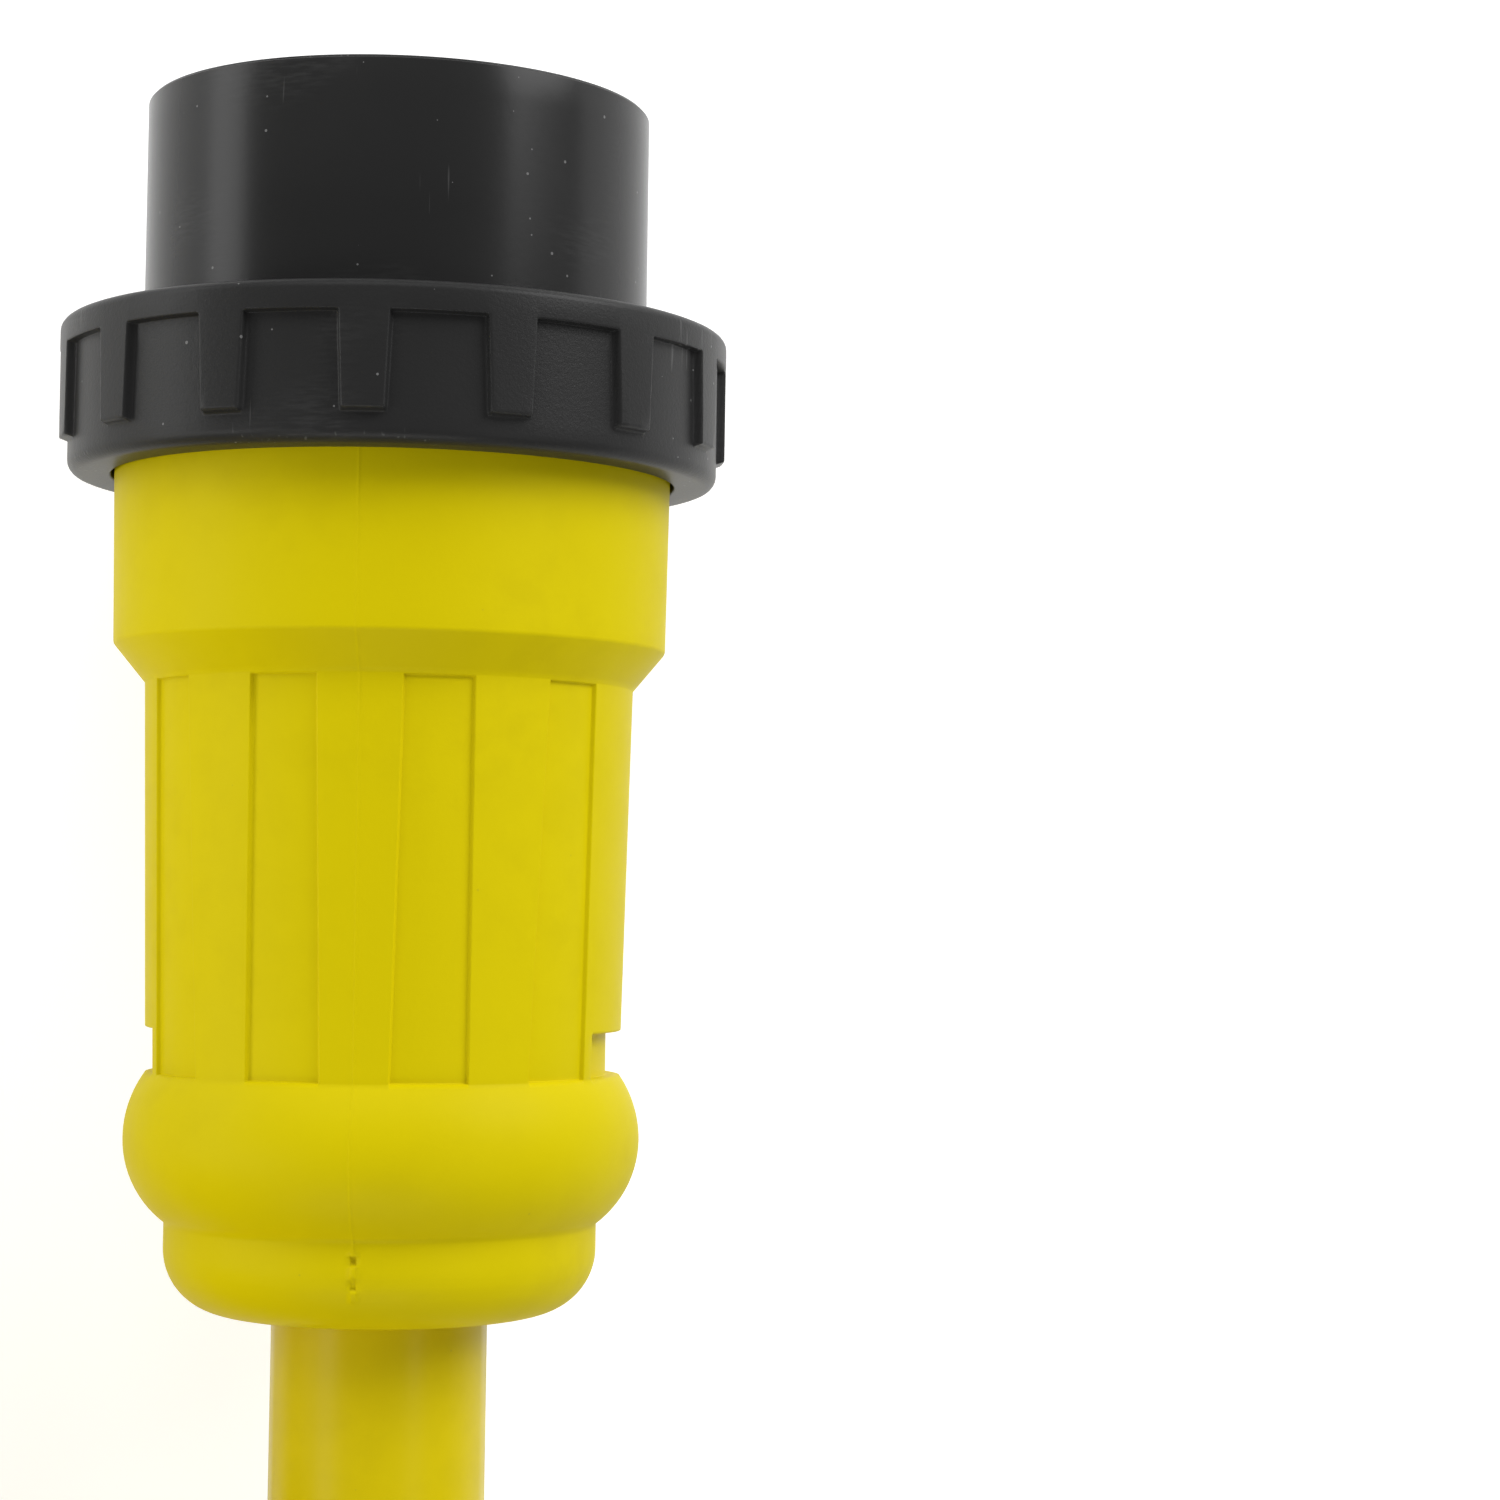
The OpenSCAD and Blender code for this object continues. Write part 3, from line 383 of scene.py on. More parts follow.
def surface(name, grid, wrap_rows=True, keep=None):
    """A mesh of quads over a grid of points [rows, columns, 3]. Its last column meets its
    first, and so do its rows unless wrap_rows is false. keep [rows, columns] says which quads
    stay. Faces point away from the middle: they are turned round if the volume that they sweep
    about the grid's mean is negative."""
    rows, columns = grid.shape[:2]
    i, j = np.meshgrid(np.arange(rows - (not wrap_rows)), np.arange(columns), indexing="ij")
    below, beside = (i + 1) % rows, (j + 1) % columns
    quads = np.stack([i * columns + j, i * columns + beside, below * columns + beside,
                      below * columns + j], -1)
    if keep is not None:
        quads = quads[keep[:quads.shape[0], :quads.shape[1]]]
    quads = quads.reshape(-1, 4)
    points = grid.reshape(-1, 3)
    p = (points - points.mean(0))[quads]
    volume = (np.einsum("ij,ij->i", p[:, 0], np.cross(p[:, 1], p[:, 2]))
              + np.einsum("ij,ij->i", p[:, 0], np.cross(p[:, 2], p[:, 3]))).sum()
    if volume < 0:
        quads = quads[:, ::-1]
    used, index = np.unique(quads, return_inverse=True)
    mesh = bpy.data.meshes.new(name)
    mesh.vertices.add(len(used))
    mesh.vertices.foreach_set("co", points[used].ravel())
    mesh.loops.add(index.size)
    mesh.loops.foreach_set("vertex_index", index.ravel().astype(np.int32))
    mesh.polygons.add(len(quads))
    mesh.polygons.foreach_set("loop_start", np.arange(0, index.size, 4, dtype=np.int32))
    mesh.polygons.foreach_set("use_smooth", np.ones(len(quads), bool))
    mesh.update(calc_edges=True)
    mesh.validate()
    piece = bpy.data.objects.new(name, mesh)
    scene.collection.objects.link(piece)
    return piece


def outline(corners, steps):
    """A closed outline of (radius, station) with rounded corners. A corner is (radius, station,
    rounding); an arc of so many steps touches both sides, its centre on the bisector."""
    points = []
    for k, (r, z, rounding) in enumerate(corners):
        at = np.array([r, z], float)
        if rounding == 0:
            points.append(at)
            continue
        back = np.array(corners[k - 1][:2]) - at
        on = np.array(corners[(k + 1) % len(corners)][:2]) - at
        back, on = back / np.linalg.norm(back), on / np.linalg.norm(on)
        half = np.arccos(np.clip(back @ on, -1, 1)) / 2
        middle = (back + on) / np.linalg.norm(back + on)
        centre = at + middle * rounding / np.sin(half)
        first = at + back * rounding / np.tan(half) - centre
        last = at + on * rounding / np.tan(half) - centre
        a0, a1 = np.arctan2(first[1], first[0]), np.arctan2(last[1], last[0])
        sweep = (a1 - a0 + np.pi) % (2 * np.pi) - np.pi
        angles = a0 + sweep * np.linspace(0, 1, steps + 1)
        points += list(centre + rounding * np.stack([np.cos(angles), np.sin(angles)], -1))
    return np.array(points)


def with_stations(points, stations, beyond=0, within=1000, least=0.03):
    """Adds a point wherever the outline crosses a station between two radii."""
    grown = []
    for a, b in zip(points, np.roll(points, -1, 0)):
        grown.append(a)
        if beyond < min(a[0], b[0]) and max(a[0], b[0]) < within:
            low, high = sorted((a[1], b[1]))
            crossed = sorted((s for s in stations if low + least < s < high - least),
                             reverse=bool(a[1] > b[1]))
            grown += [a + (b - a) * (s - a[1]) / (b[1] - a[1]) for s in crossed]
    return np.array(grown)


def ramp(x, at, width):
    """0 before a place and 1 after it, with a smooth step of that width."""
    t = np.clip((x - at) / width + 0.5, 0, 1)
    return t * t * (3 - 2 * t)


def band(x, low, high, width):
    """1 between two places and 0 outside them, with smooth sides."""
    return ramp(x, low, width) - ramp(x, high, width)


def columns_near(places, offsets, spacing, least=0.04):
    """Angles round a piece: evenly spaced ones, and extra ones close to given places. Of two
    that are less than the least angle apart, only one stays."""
    near = (np.asarray(places)[:, None] + np.asarray(offsets)).ravel()
    every = np.sort(np.concatenate([np.arange(0, 360, spacing), near % 360]))
    apart = np.diff(np.append(every, every[0] + 360))
    return every[apart > least]


# Lengths along the boot from its rear end, and the stations between them
neck_len, bulge_len, grip_len, cone_len, collar_len, flange_w = 10.4, 17.2, 44.9, 4.5, 22.8, 2.0
z_bulge = neck_len
z_grip = z_bulge + bulge_len
z_cone = z_grip + grip_len
z_collar = z_cone + cone_len
z_flange = z_collar + collar_len
z_front = z_flange + flange_w
neck_r, end_round, bulge_r, bulge_round = 25.0, 7.4, 29.85, 12.0
grip_rear_r, grip_front_r = 27.45, 28.4
collar_rear_r, collar_front_r, flange_r = 32.1, 32.45, 33.4
# What the boot holds: a sleeve of this radius, and the housing's wide part and its tail
shroud_r, shroud_reach, face_depth, insert_len = 29.35, 38.5, 31.0, 14.0
housing_flange, wide_len, tail_len = 3.0, 14.0, 38.0
plug_len = z_front + shroud_reach
z_face = plug_len - face_depth
z_insert = z_face - insert_len
z_web = z_insert - housing_flange
z_step = z_web - wide_len
z_tail = z_step - tail_len
sleeve_bore_r, wide_bore_r, tail_bore_r, cord_bore_r = shroud_r + 0.1, 30.0, 24.0, 12.6
# The bore's play at the wide part's ends, and where it narrows down to the cord: distances
# behind the tail
bore_play, throat_start, throat_end = 0.3, 8, 17
# Panels and windows by degrees from the parting line, on each side of it, front and back
# alike. The panels widen towards the bulge.
parting = 84.5
panels_rear = np.array([8.05, 26.4, 42.4, 61.4])
panels_front = np.array([9.8, 25.7, 45.6, 61.3])
panels_mean = (panels_rear + panels_front) / 2
window_edge = 65.2
panel_depth, panel_side, ledge, foot = 0.5, 0.45, 0.12, 0.12
window_top, window_floor_r, window_side, window_sill = z_grip + 5.1, 25.8, 0.5, 0.3
# The flash along the parting line: height, half its width, and where it starts on the neck
flash_h, flash_half_w, flash_start = 0.05, 0.13, 3
# The moulding gate's scar on the neck: stations, and how far it stands proud or is torn in
gate_stations = np.array([3.5, 3.75, 4.65, 5.0, 5.25, 5.8, 6.2, 6.5, 7.5, 7.8, 8.0, 8.7, 8.9,
                          9.2, 9.4])
gate_heights = np.array([0, 0.14, 0.14, 0, -0.3, -0.25, 0, 0.26, 0.26, 0, -0.42, -0.42, 0.16,
                         0.16, 0])
gate_half_w, gate_side = 0.38, 0.16
# A point of the outline is on the boot's outside, or on its neck, beyond these radii
outside_r, neck_skin_r = neck_r - 0.2, tail_bore_r * 0.8

bulge_c_r = bulge_r - bulge_round
bulge_c_z = z_bulge + np.sqrt(bulge_round ** 2 - (neck_r - bulge_c_r) ** 2)
# The bulge's rear arc rises from the neck, and its flatter front arc falls to the ribs' feet
bulge_fall, bulge_ahead = bulge_r - grip_rear_r, z_grip - bulge_c_z
front_round = (bulge_fall ** 2 + bulge_ahead ** 2) / (2 * bulge_fall)
bulge = [(bulge_c_r + bulge_round * np.cos(a), bulge_c_z + bulge_round * np.sin(a), 0)
         for a in np.linspace(-np.arccos((neck_r - bulge_c_r) / bulge_round), 0, 14)]
bulge += [(bulge_r - front_round * (1 - np.cos(a)), bulge_c_z + front_round * np.sin(a), 0)
          for a in np.linspace(0, np.arcsin(bulge_ahead / front_round), 14)[1:]]
neck_end = [(neck_r - end_round * (1 - np.sin(a)), end_round * (1 - np.cos(a)), 0)
            for a in np.linspace(0, np.pi / 2, 22)]
boot_outline = outline(
    [(cord_bore_r, 0, 0.5)] + neck_end + bulge
    + [(grip_front_r, z_cone, 0), (collar_rear_r, z_collar, 0.9), (collar_front_r, z_flange, 0),
       (flange_r, z_flange, 0.2), (flange_r, z_front, 0.35), (sleeve_bore_r, z_front, 0.2),
       (sleeve_bore_r, z_insert + bore_play, 0), (wide_bore_r, z_insert + bore_play, 0),
       (wide_bore_r, z_step - bore_play, 0), (tail_bore_r, z_step - bore_play, 0),
       (tail_bore_r, z_tail - throat_start, 0), (cord_bore_r, z_tail - throat_end, 0)], 7)
# Stations along the boot, closer together at the window's top, the ledge and the ribs' foot
boot_stations = np.concatenate([
    np.arange(1, z_bulge, 1.0), window_top + np.array([-0.2, -0.1, 0.1, 0.2]),
    z_cone - ledge * np.array([0.2, 0.6, 1, 1.4, 2.5, 6]),
    z_grip + foot * np.array([0.25, 0.5, 0.75, 1, 2, 5]),
    np.arange(z_grip + 1.5, z_flange, 2.0)])
boot_outline = with_stations(boot_outline, np.sort(boot_stations), beyond=outside_r)
boot_outline = with_stations(boot_outline, gate_stations, beyond=neck_skin_r)


def boot(head):
    """The outline turned round the axis, then pressed in: r goes to the lower of itself and the
    panels' or windows' floor, by masks of the angle from the parting line and the station. The
    columns lean with the panels' sides, between their angles at the rear and at the front."""
    edges = [side * e + turn for e in (*panels_mean, window_edge) for side in (-1, 1)
             for turn in (0, 180)]
    turned = columns_near(edges, (-0.4, -0.24, -0.1, 0.1, 0.24, 0.4), 2.5)
    seams = columns_near([0, 180], (-1, -0.8, -0.5, -0.3, -0.15, 0, 0.15, 0.3, 0.5, 0.8, 1), 360)
    turned = np.unique(np.concatenate([turned, seams]).round(3))
    from_line = (turned + 90) % 180 - 90
    off = np.abs(from_line)
    r, z = boot_outline[:, :1], boot_outline[:, 1:]
    outer = (r > outside_r) & (z < z_flange)
    panels = band(off, *panels_mean[:2], panel_side) + band(off, *panels_mean[2:], panel_side)
    grip = grip_rear_r + (grip_front_r - grip_rear_r) * (z - z_grip) / grip_len
    on_grip = (outer & (z < z_cone + 0.01)) * ramp(z, z_grip + foot / 2, foot)
    pressed = on_grip * panels * (1 - ramp(z, z_cone - ledge, ledge))
    sunk = pressed * np.maximum(r - (grip - panel_depth), 0)
    window = on_grip * ramp(off, window_edge, window_side) * (1 - ramp(z, window_top, window_sill))
    sunk = np.maximum(sunk, window * np.maximum(r - window_floor_r, 0))
    share = np.clip((z - z_grip) / grip_len, 0, 1)
    spots = np.array([0, *panels_mean, 90])
    leaned = ((1 - share) * np.interp(off, spots, [0, *panels_rear, 90])
              + share * np.interp(off, spots, [0, *panels_front, 90]))
    angles = parting + turned - from_line + np.sign(from_line) * leaned
    arc = off * np.pi / 180 * r
    flash = flash_h * np.exp(-(arc / flash_half_w) ** 2) * outer * (z > flash_start)
    front_side = np.abs((turned + 180) % 360 - 180) < window_edge
    on_neck = (r > neck_skin_r) & (z < z_bulge) & front_side
    gate = np.interp(z, gate_stations, gate_heights) * (1 - ramp(arc, gate_half_w, gate_side))
    gate = on_neck * gate
    return surface(head + "_boot_moulding", placed(head, r - sunk + flash + gate, z, angles))


def yellow(name, colour, shade, rough, grain_scale, grain_depth, gloss):
    """Yellow rubber or PVC: barely uneven colour, fine moulded grain and a weak soft gloss."""
    def feeds(tree, place):
        marks = apply_effect(tree, MARKS, place, scale=38.0)
        smears = apply_effect(tree, MARKS, place, scale=210.0)
        grime = wired(tree, "Math", {0: smears, 1: marks}, operation="MULTIPLY").outputs[0]
        faint = wired(tree, "Math", {0: grime, 1: 0.35}, operation="MULTIPLY").outputs[0]
        dust = apply_effect(tree, DUST, place, share=0.06, scratches=0.0)
        some = wired(tree, "Math", {0: dust, 1: 0.3}, operation="MULTIPLY").outputs[0]
        base = mixed(tree, faint, (*colour, 1), (*shade, 1))
        grain = apply_effect(tree, GRAIN, place, scale=grain_scale)
        return {"Base Color": mixed(tree, some, base, (0.42, 0.35, 0.03, 1)),
                "Roughness": remapped(tree, marks, rough, rough + 0.08),
                "Normal": bumped(tree, grain, grain_depth)}
    return surfaced(name, feeds, Specular_IOR_Level=gloss)


boot_yellow = yellow("boot_yellow", (0.655, 0.54, 0.001), (0.56, 0.45, 0.001), 0.45,
                     2400.0, 1.6e-5, 0.045)
pieces = {}
for head in HEADS:
    pieces[head + "_boot"] = dressed(boot(head), boot_yellow)
    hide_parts(head + "_boot")
    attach(pieces[head + "_boot"], "root")

# ---- Locking rings ----
# The ring is black glass-filled plastic with fifteen grip tabs under a plain band, a thread in
# its bore and a rear shoulder that turns on the boot's collar, held by the boot's front flange.

ring_w, shoulder_w, band_w, ring_play = 17.4, 3.0, 3.3, 0.35
z_shoulder = z_flange - ring_play - shoulder_w
z_ring_front = z_shoulder + ring_w
z_band = z_ring_front - band_w
ring_r, tab_base_r, thread_r, shoulder_r = 38.85, 37.8, 33.75, 32.8
tab_count, tab_turn, tab_len = 15, -3.9, 10.7
tab_half_rear, tab_half_front, tab_side, tab_end = 3.6, 4.25, 0.6, 0.45
# The thread's pitch and depth, the distance in which it runs out, and by how much its crest
# and its flanks are cut off from a wave of one pitch
thread_pitch, thread_depth, thread_run_out, thread_crest, thread_flank = 2.5, 0.85, 1.2, 1.4, 4.2
# How far it stays from the shoulder's face and from the ring's front
thread_rear_gap, thread_front_gap = 1.2, 1.6

ring_outline = outline(
    [(shoulder_r, z_shoulder, 0.3), (tab_base_r, z_shoulder, 1.5),
     (tab_base_r, z_band - 0.15, 0.12), (ring_r, z_band, 0.22), (ring_r, z_ring_front, 1.0),
     (thread_r, z_ring_front, 0.5), (thread_r, z_shoulder + shoulder_w, 0.2),
     (shoulder_r, z_shoulder + shoulder_w, 0.2)], 6)
ring_stations = np.concatenate([
    z_band - tab_len + np.array([-0.5, -0.3, -0.15, 0, 0.15, 0.3, 0.5]),
    np.arange(z_band - tab_len + 1, z_band - 0.4, 1.2)])
ring_outline = with_stations(ring_outline, np.sort(ring_stations), beyond=tab_base_r - 0.01)
thread_stations = np.arange(z_shoulder + shoulder_w + 0.4, z_ring_front - 0.5, 0.3)
ring_outline = with_stations(ring_outline, thread_stations, beyond=thread_r - 0.01,
                             within=thread_r + 0.01)


def ring(head):
    """The outline turned round the axis. Tabs lift r to the band's radius, by masks of angle
    and station. The thread pushes the bore out by a trapezoid of station/pitch - turn."""
    centres = 90 + tab_turn + np.arange(tab_count) * 360 / tab_count
    mean_half = (tab_half_rear + tab_half_front) / 2
    angles = columns_near(np.concatenate([centres - mean_half, centres + mean_half]),
                          (-0.75, -0.5, -0.3, -0.1, 0.1, 0.3, 0.5, 0.75), 2.5)
    r, z = ring_outline[:, :1], ring_outline[:, 1:]
    pitch_angle = 360 / tab_count
    off = np.abs((angles - centres[0] + pitch_angle / 2) % pitch_angle - pitch_angle / 2)
    along = (z - (z_band - tab_len)) / tab_len
    half = tab_half_rear + (tab_half_front - tab_half_rear) * np.clip(along, 0, 1)
    tab = (1 - ramp(off, half, tab_side)) * ramp(z, z_band - tab_len, tab_end)
    lifted = (r > tab_base_r - 0.02) & (z < z_band + 0.3) & (z > z_shoulder + 2)
    proud = lifted * tab * (ring_r - np.minimum(r, ring_r))
    turns = z / thread_pitch + HANDS[head] * angles / 360
    groove = np.clip(thread_crest - thread_flank * np.abs(turns % 1 - 0.5), 0, 1)
    ends = band(z, z_shoulder + shoulder_w + thread_rear_gap, z_ring_front - thread_front_gap,
                thread_run_out)
    thread = thread_depth * groove * ends * (np.abs(r - thread_r) < 0.02)
    return surface(head + "_locking_ring", placed(head, r + proud + thread, z, angles))


ring_black = plastic("ring_black", (0.019, 0.019, 0.019), (0.15, 0.15, 0.15), 0.38, 2200.0,
                     2.5e-5, share=0.5, wear=0.12, Specular_IOR_Level=0.16)
for head in HEADS:
    piece = dressed(ring(head), ring_black)
    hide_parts(head + "_ring")
    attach(piece, head + "_ring_body")
    pieces[head + "_ring"] = piece

# ---- Plug shroud and metal shell ----
# The shroud is a satin black plastic sleeve with a small step at its mouth, clamped between the
# insert and the housing. A nickel-plated steel shell lines it: a rolled strip with its ends
# butted, two bayonet entries with hooked slots, and two lugs pressed inwards.

shroud_bore_r, wide_r, flange_bore_r, step_r, mouth_r = 27.05, 29.95, 18.0, 29.12, 29.08
screw_circle_r, screw_hole_r, screw_angles = 22.5, 1.6, (98, -83)

shroud_outline = outline(
    [(flange_bore_r, z_web + 0.05, 0.3), (wide_r, z_web + 0.05, 0.2), (wide_r, z_insert, 0.2),
     (shroud_r, z_insert, 0), (shroud_r, plug_len - 0.32, 0.12), (step_r, plug_len - 0.26, 0),
     (mouth_r, plug_len, 0.2), (shroud_bore_r, plug_len, 0.25), (shroud_bore_r, z_insert, 0),
     (flange_bore_r, z_insert, 0.3)], 5)
shroud_outline = with_stations(shroud_outline, np.arange(z_insert + 2, plug_len - 1, 3.0),
                               beyond=shroud_bore_r - 0.05)


def pierced(piece, head, radius, angles, z0, z1, sides=32):
    """Cuts straight round holes through a piece, along the head's axis, on the screw circle."""
    turns = np.linspace(0, 2 * np.pi, sides, endpoint=False)
    for angle in angles:
        centre = placed(head, screw_circle_r, 0.0, angle)
        rings = []
        for z, r in ((z0, 0.001), (z0, radius), (z1, radius), (z1, 0.001)):
            ring_points = np.stack([np.cos(turns) * r * mm, np.full(sides, z * mm),
                                    np.sin(turns) * r * mm], -1)
            rings.append(centre + ring_points)
        cutter = surface("cutter", np.array(rings), wrap_rows=False)
        mesh = bmesh.new()
        mesh.from_mesh(cutter.data)
        bmesh.ops.remove_doubles(mesh, verts=mesh.verts, dist=1e-5)
        bmesh.ops.recalc_face_normals(mesh, faces=mesh.faces)
        mesh.to_mesh(cutter.data)
        mesh.free()
        cut = piece.modifiers.new("hole", "BOOLEAN")
        cut.object, cut.operation, cut.solver = cutter, "DIFFERENCE", "EXACT"
        bpy.context.view_layer.update()
        done = bpy.data.meshes.new_from_object(piece.evaluated_get(
            bpy.context.evaluated_depsgraph_get()))
        piece.modifiers.clear()
        piece.data = done
        bpy.data.objects.remove(cutter)
    return piece


shroud_grid = placed("plug", shroud_outline[:, :1], shroud_outline[:, 1:],
                     np.arange(0, 360, 1.5))
shroud = pierced(surface("plug_shroud_sleeve", shroud_grid), "plug", screw_hole_r, screw_angles,
                 z_web - 2, z_insert + 2)
shroud_black = plastic("shroud_black", (0.0195, 0.0195, 0.0195), (0.15, 0.15, 0.15), 0.24, 1500.0,
                       0.6e-5, share=0.5, wear=0.2, Specular_IOR_Level=0.17)
dressed(shroud, shroud_black)
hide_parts("plug_shroud")
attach(shroud, "root")

shell_r, shell_wall, shell_top = 27.0, 1.2, plug_len - 0.5
slot_top, slot_bottom = plug_len - 11, plug_len - 16
# Each bayonet entry, and the slot below it: degrees from and to
entries = (((72.4, 91), (53.5, 88)), ((271, 285.3), (254, 282.6)))
lug_angles, lug_reach, lug_half_w = (45.5, 243), 1.7, 2.5
lug_bottom, lug_top, lug_foot, lug_head = plug_len - 14, plug_len - 1.5, 2.0, 1.0
seam_angle, seam_half = 175.0, 0.2
# The strip lies this much farther out between these two angles, and all round below z_draw
overlap, overlap_step, overlap_side = (-22.0, 8.6), 0.18, 0.7
z_draw, draw_len = z_face + 1.2, 0.4


def shell():
    """A rolled strip as a grid of angle and station, drawn in slightly outside its overlap and
    pressed in at the lugs by a cosine-squared ridge that closes just below the rim. Quads inside
    an entry, a slot or the open seam are left out, and the wall then gets its thickness inwards."""
    edges = np.array([e for pair in entries for span in pair for e in span])
    angles = columns_near(np.concatenate([edges, [seam_angle - seam_half, seam_angle + seam_half]]),
                          (0,), 3.0)
    fine = columns_near(lug_angles, np.linspace(-6, 6, 25), 360)
    steps = columns_near(overlap, (-0.6, -0.3, 0, 0.3, 0.6), 360)
    angles = np.unique(np.concatenate([angles, fine, steps]).round(3) % 360)
    stations = np.unique(np.concatenate([
        np.arange(z_insert + 0.05, shell_top, 2.0),
        [z_draw - draw_len / 2, z_draw + draw_len / 2, slot_bottom, slot_top],
        lug_bottom + np.array([-1.2, -0.6, 0, 0.6, 1.2]),
        lug_top + np.array([-0.7, -0.5, -0.3, -0.15, 0, 0.15, 0.3, 0.5]),
        [shell_top - 0.2, shell_top]]))
    z = stations[:, None]
    signed = (angles + 180) % 360 - 180
    inset = overlap_step * (1 - band(signed, *overlap, overlap_side)) * ramp(z, z_draw, draw_len)
    arc = np.min([np.abs((angles - a + 180) % 360 - 180) for a in lug_angles], 0)
    arc = arc * np.pi / 180 * shell_r
    ridge = np.where(arc < lug_half_w, np.cos(np.pi / 2 * np.clip(arc / lug_half_w, 0, 1)) ** 2, 0)
    pressed = lug_reach * ridge * (ramp(z, lug_bottom, lug_foot) - ramp(z, lug_top, lug_head))
    grid = placed("plug", shell_r - inset - pressed, z, angles)
    middle_a = (angles + np.append(angles[1:], angles[0] + 360)) / 2 % 360
    middle_z = (stations + np.append(stations[1:], stations[-1])) / 2
    open_quads = np.zeros((len(stations), len(angles)), bool)
    open_quads[:, np.abs(middle_a - seam_angle) < seam_half] = True
    for (e0, e1), (s0, s1) in entries:
        entry = (middle_a > e0) & (middle_a < e1)
        slot = (middle_a > s0) & (middle_a < s1)
        open_quads |= entry[None, :] & (middle_z > slot_top)[:, None]
        open_quads |= slot[None, :] & ((middle_z > slot_bottom) & (middle_z < slot_top))[:, None]
    strip = surface("plug_shell_liner", grid, wrap_rows=False, keep=~open_quads)
    wall = strip.modifiers.new("wall", "SOLIDIFY")
    wall.thickness, wall.offset = shell_wall * mm, -1
    edge = strip.modifiers.new("rolled_edges", "BEVEL")
    edge.width, edge.segments, edge.limit_method, edge.angle_limit = 0.16 * mm, 2, "ANGLE", 0.7
    return strip


liner = dressed(shell(), finishes["nickel_shell"])
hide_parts("plug_shell")
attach(liner, "root")

# ---- Faces: inserts, blades, contacts, strap, pins and screws ----
# The insert and the nose are black mouldings that carry the blades or the spring contacts.
# Blades, contacts and the bonding strap are stamped and plated, the pins are turned, and face
# screws draw each stack together. The nose and the contacts keep their solids.

merge_gap, flat_angle, sharp_angle = 2e-6, 0.01, 0.6


def eased(node, width, segments=2):
    """A merged copy of a node's solid with its sharp edges rounded, which replaces it. The
    insert's broad face sets the normals at its edges, so that it looks flat."""
    mesh = frame["nodes"][node].data.copy()
    mesh.name = node + "_eased"
    work = bmesh.new()
    work.from_mesh(mesh)
    bmesh.ops.remove_doubles(work, verts=work.verts, dist=merge_gap)
    bmesh.ops.dissolve_limit(work, angle_limit=flat_angle, verts=work.verts, edges=work.edges)
    work.to_mesh(mesh)
    work.free()
    piece = bpy.data.objects.new(node + "_eased", mesh)
    scene.collection.objects.link(piece)
    mesh.shade_smooth()
    rounding = piece.modifiers.new("eased_edges", "BEVEL")
    rounding.width, rounding.segments = width * mm, segments
    rounding.limit_method, rounding.angle_limit = "ANGLE", sharp_angle
    if node == "plug_insert":
        levelled = piece.modifiers.new("level_faces", "WEIGHTED_NORMAL")
        levelled.mode, levelled.weight = "FACE_AREA", 100
    else:
        rounding.harden_normals = True
    dressed(piece, finishes[slot_of[node]])
    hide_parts(node)
    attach(piece, body_of[node])
    pieces[node] = piece
    return piece


edge_widths = {
    "plug_insert": 0.18, "plug_blade_ground": 0.3, "plug_blade_hot": 0.3,
    "plug_blade_neutral": 0.25, "plug_ground_strap": 0.1, "plug_face_screws": 0.12,
    "connector_lock_pins": 0.2, "connector_face_screws": 0.12,
}
for node, width in edge_widths.items():
    eased(node, width)

# ---- Cord and its tie ----
# One yellow jacketed cord of 7.62 m runs from the plug down to the floor, through a coil of
# seven and a half loops in four layers, and down again to the connector. A black webbing strap
# goes round all its layers and ties the coil.

cord_d, tie_t, tie_w, seat = 25.0, 1.3, 25.0, 0.05
# The lead's and the tail's points: the distance along Y, and the share of the way down
lead_points = np.array([(0, 0), (12, 0), (22, 0), (37, 0.03), (52, 0.125), (67, 0.28), (82, 0.5),
                        (97, 0.72), (112, 0.875), (127, 0.97), (142, 1), (154, 1), (166, 1)])
tail_points = np.array([(0, 0), (17, 0), (35, 0.03), (54, 0.125), (72, 0.28), (91, 0.5),
                        (109, 0.72), (128, 0.875), (146, 0.97), (165, 1), (182, 1)])
tail_drift, coil_mid_r, coil_loops, coil_layers, loop_rings = 12.0, 153.0, 7.5, 4, 24
climb_turn = 0.5
loop_pitch = cord_d + 0.6
layer_loops = coil_loops / coil_layers
coil_out_r = coil_mid_r + loop_pitch * layer_loops / 2
exit_y, axis_z = HEADS["plug"][1] / mm, HEADS["plug"][2] / mm
coil_z = cord_d / 2 + tie_t + seat
coil_top_z = coil_z + (coil_layers - 1) * loop_pitch
coil_x, coil_y = -coil_out_r, exit_y - lead_points[-1, 0] - cord_d
connector_x = coil_x - coil_out_r + tail_drift


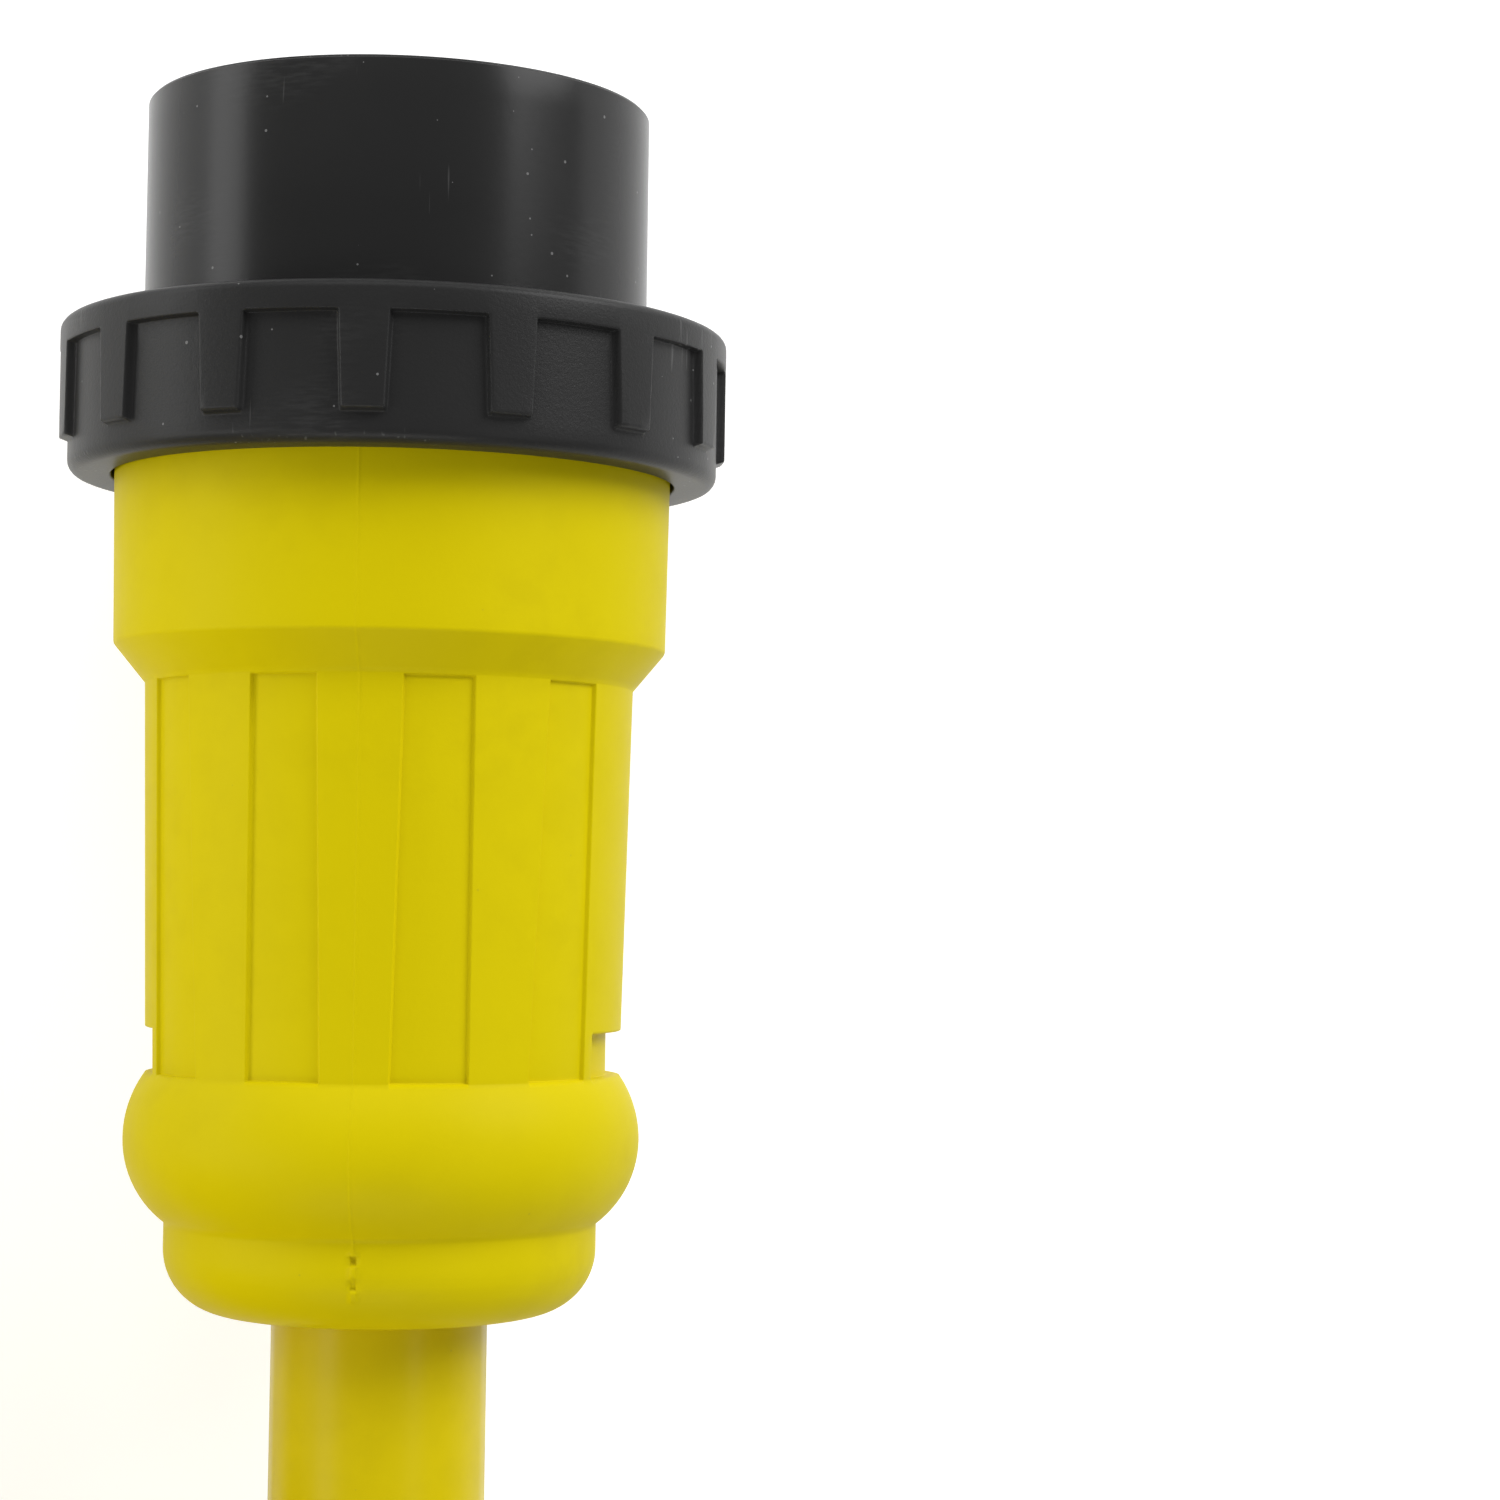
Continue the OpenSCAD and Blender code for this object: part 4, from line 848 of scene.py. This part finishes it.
def cord_route():
    """The cord's middle line, in metres: the lead's points, then loops that spiral in and out
    between the layers and rise a layer in the half turn about each reversal, then the tail's
    points."""
    lead = np.stack([0 * lead_points[:, 0], exit_y - lead_points[:, 0],
                     axis_z + lead_points[:, 1] * (coil_z - axis_z)], -1)
    t = np.arange(int(coil_loops * loop_rings) + 1) / loop_rings
    swing = (t / layer_loops) % 2
    r = coil_out_r - loop_pitch * layer_loops * np.minimum(swing, 2 - swing)
    rise = sum(ramp(t, k * layer_loops, climb_turn) for k in range(1, coil_layers))
    loops = np.stack([coil_x + r * np.cos(-2 * np.pi * t), coil_y + r * np.sin(-2 * np.pi * t),
                      coil_z + loop_pitch * rise], -1)
    share = tail_points[:, 1]
    tail = np.stack([connector_x - (1 - share) * tail_drift, coil_y + cord_d + tail_points[:, 0],
                     coil_top_z + share * (axis_z - coil_top_z)], -1)
    return np.concatenate([lead, loops, tail]) * mm


def cord_curve(route):
    """One open smooth spline through the route: each point's handles lie along the line from
    the point before it to the point after it, a third of the way to each."""
    curve = bpy.data.curves.new("cord_jacket", "CURVE")
    curve.dimensions = "3D"
    curve.resolution_u = 6
    curve.bevel_depth = cord_d / 2 * mm
    curve.bevel_resolution = 7
    curve.use_fill_caps = True
    spline = curve.splines.new("BEZIER")
    spline.bezier_points.add(len(route) - 1)
    heading = np.gradient(route, axis=0)
    heading /= np.linalg.norm(heading, axis=1)[:, None]
    steps = np.linalg.norm(np.diff(route, axis=0), axis=1)
    before, after = np.append(steps[0], steps)[:, None], np.append(steps, steps[-1])[:, None]
    spline.bezier_points.foreach_set("co", route.ravel())
    spline.bezier_points.foreach_set("handle_left", (route - heading * before / 3).ravel())
    spline.bezier_points.foreach_set("handle_right", (route + heading * after / 3).ravel())
    piece = bpy.data.objects.new("cord_jacket", curve)
    scene.collection.objects.link(piece)
    return piece


cord_yellow = yellow("cord_yellow", (0.66, 0.525, 0.001), (0.57, 0.45, 0.001), 0.3,
                     1700.0, 0.8e-5, 0.13)
cord = dressed(cord_curve(cord_route()), cord_yellow)
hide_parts("cord_lead", "cord_coil", "cord_tail")
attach(cord, "root")


def tie_loop(grow, steps):
    """Points (outward, up) round the bundle, evenly spaced on a rounded rectangle grown by a
    distance, from the middle of the outer side, upwards first."""
    near, far = coil_out_r - 0.8 * layer_loops * loop_pitch, coil_out_r - loop_pitch / 4
    round_r = cord_d / 2 + seat + grow
    corners = [(far, coil_top_z, 0), (near, coil_top_z, 90), (near, coil_z, 180),
               (far, coil_z, 270)]
    path = [(far + round_r, (coil_z + coil_top_z) / 2)]
    for r, z, first in corners:
        a = np.radians(np.linspace(first, first + 90, 13))
        path += list(np.stack([r + round_r * np.cos(a), z + round_r * np.sin(a)], -1))
    path = np.array(path + [path[0]])
    run = np.concatenate([[0], np.cumsum(np.linalg.norm(np.diff(path, axis=0), axis=1))])
    at = np.linspace(0, 1 - 1 / steps, steps) * run[-1]
    return np.stack([np.interp(at, run, path[:, k]) for k in (0, 1)], -1)


edge_flatness, face_fullness = 6, 0.35


def webbing(name, steps=180, sides=24):
    """A flat strap with round edges: its section, a circle drawn out to the strap's width by a
    tanh and flattened to its thickness by a power, is carried along the loop and stands square
    to it."""
    line = tie_loop(tie_t / 2, steps)
    along = np.roll(line, -1, 0) - np.roll(line, 1, 0)
    along /= np.linalg.norm(along, axis=1)[:, None]
    out = np.stack([along[:, 1], -along[:, 0]], -1)
    a = np.linspace(0, 2 * np.pi, sides, endpoint=False)
    across = (tie_w / 2 - tie_t / 2) * np.tanh(edge_flatness * np.cos(a)) + tie_t / 2 * np.cos(a)
    thick = tie_t / 2 * np.sign(np.sin(a)) * np.abs(np.sin(a)) ** face_fullness
    level = line[:, None, :] + thick[None, :, None] * out[:, None, :]
    grid = np.stack([np.broadcast_to(coil_x + across, level.shape[:2]),
                     coil_y - level[..., 0], level[..., 1]], -1) * mm
    return surface(name, grid)


def webbing_material():
    """Black woven webbing: ribs across the strap and yarns along it, from two waves."""
    def feeds(tree, place):
        across = wired(tree, "TexWave", {"Vector": place, "Scale": 330.0}, bands_direction="X")
        along = wired(tree, "TexWave", {"Vector": place, "Scale": 330.0}, bands_direction="Z")
        weave = wired(tree, "Math", {0: across.outputs["Fac"], 1: along.outputs["Fac"]},
                      operation="MAXIMUM").outputs[0]
        return {"Base Color": mixed(tree, weave, (0.012, 0.012, 0.012, 1), (0.04, 0.04, 0.04, 1)),
                "Roughness": remapped(tree, weave, 0.95, 0.8),
                "Normal": bumped(tree, weave, 2.0e-4)}
    return surfaced("black_webbing", feeds, Sheen_Weight=0.25)


black_webbing = webbing_material()
tie = dressed(webbing("coil_tie_strap"), black_webbing)
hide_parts("coil_tie")
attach(tie, "root")
pieces["coil_tie"] = tie
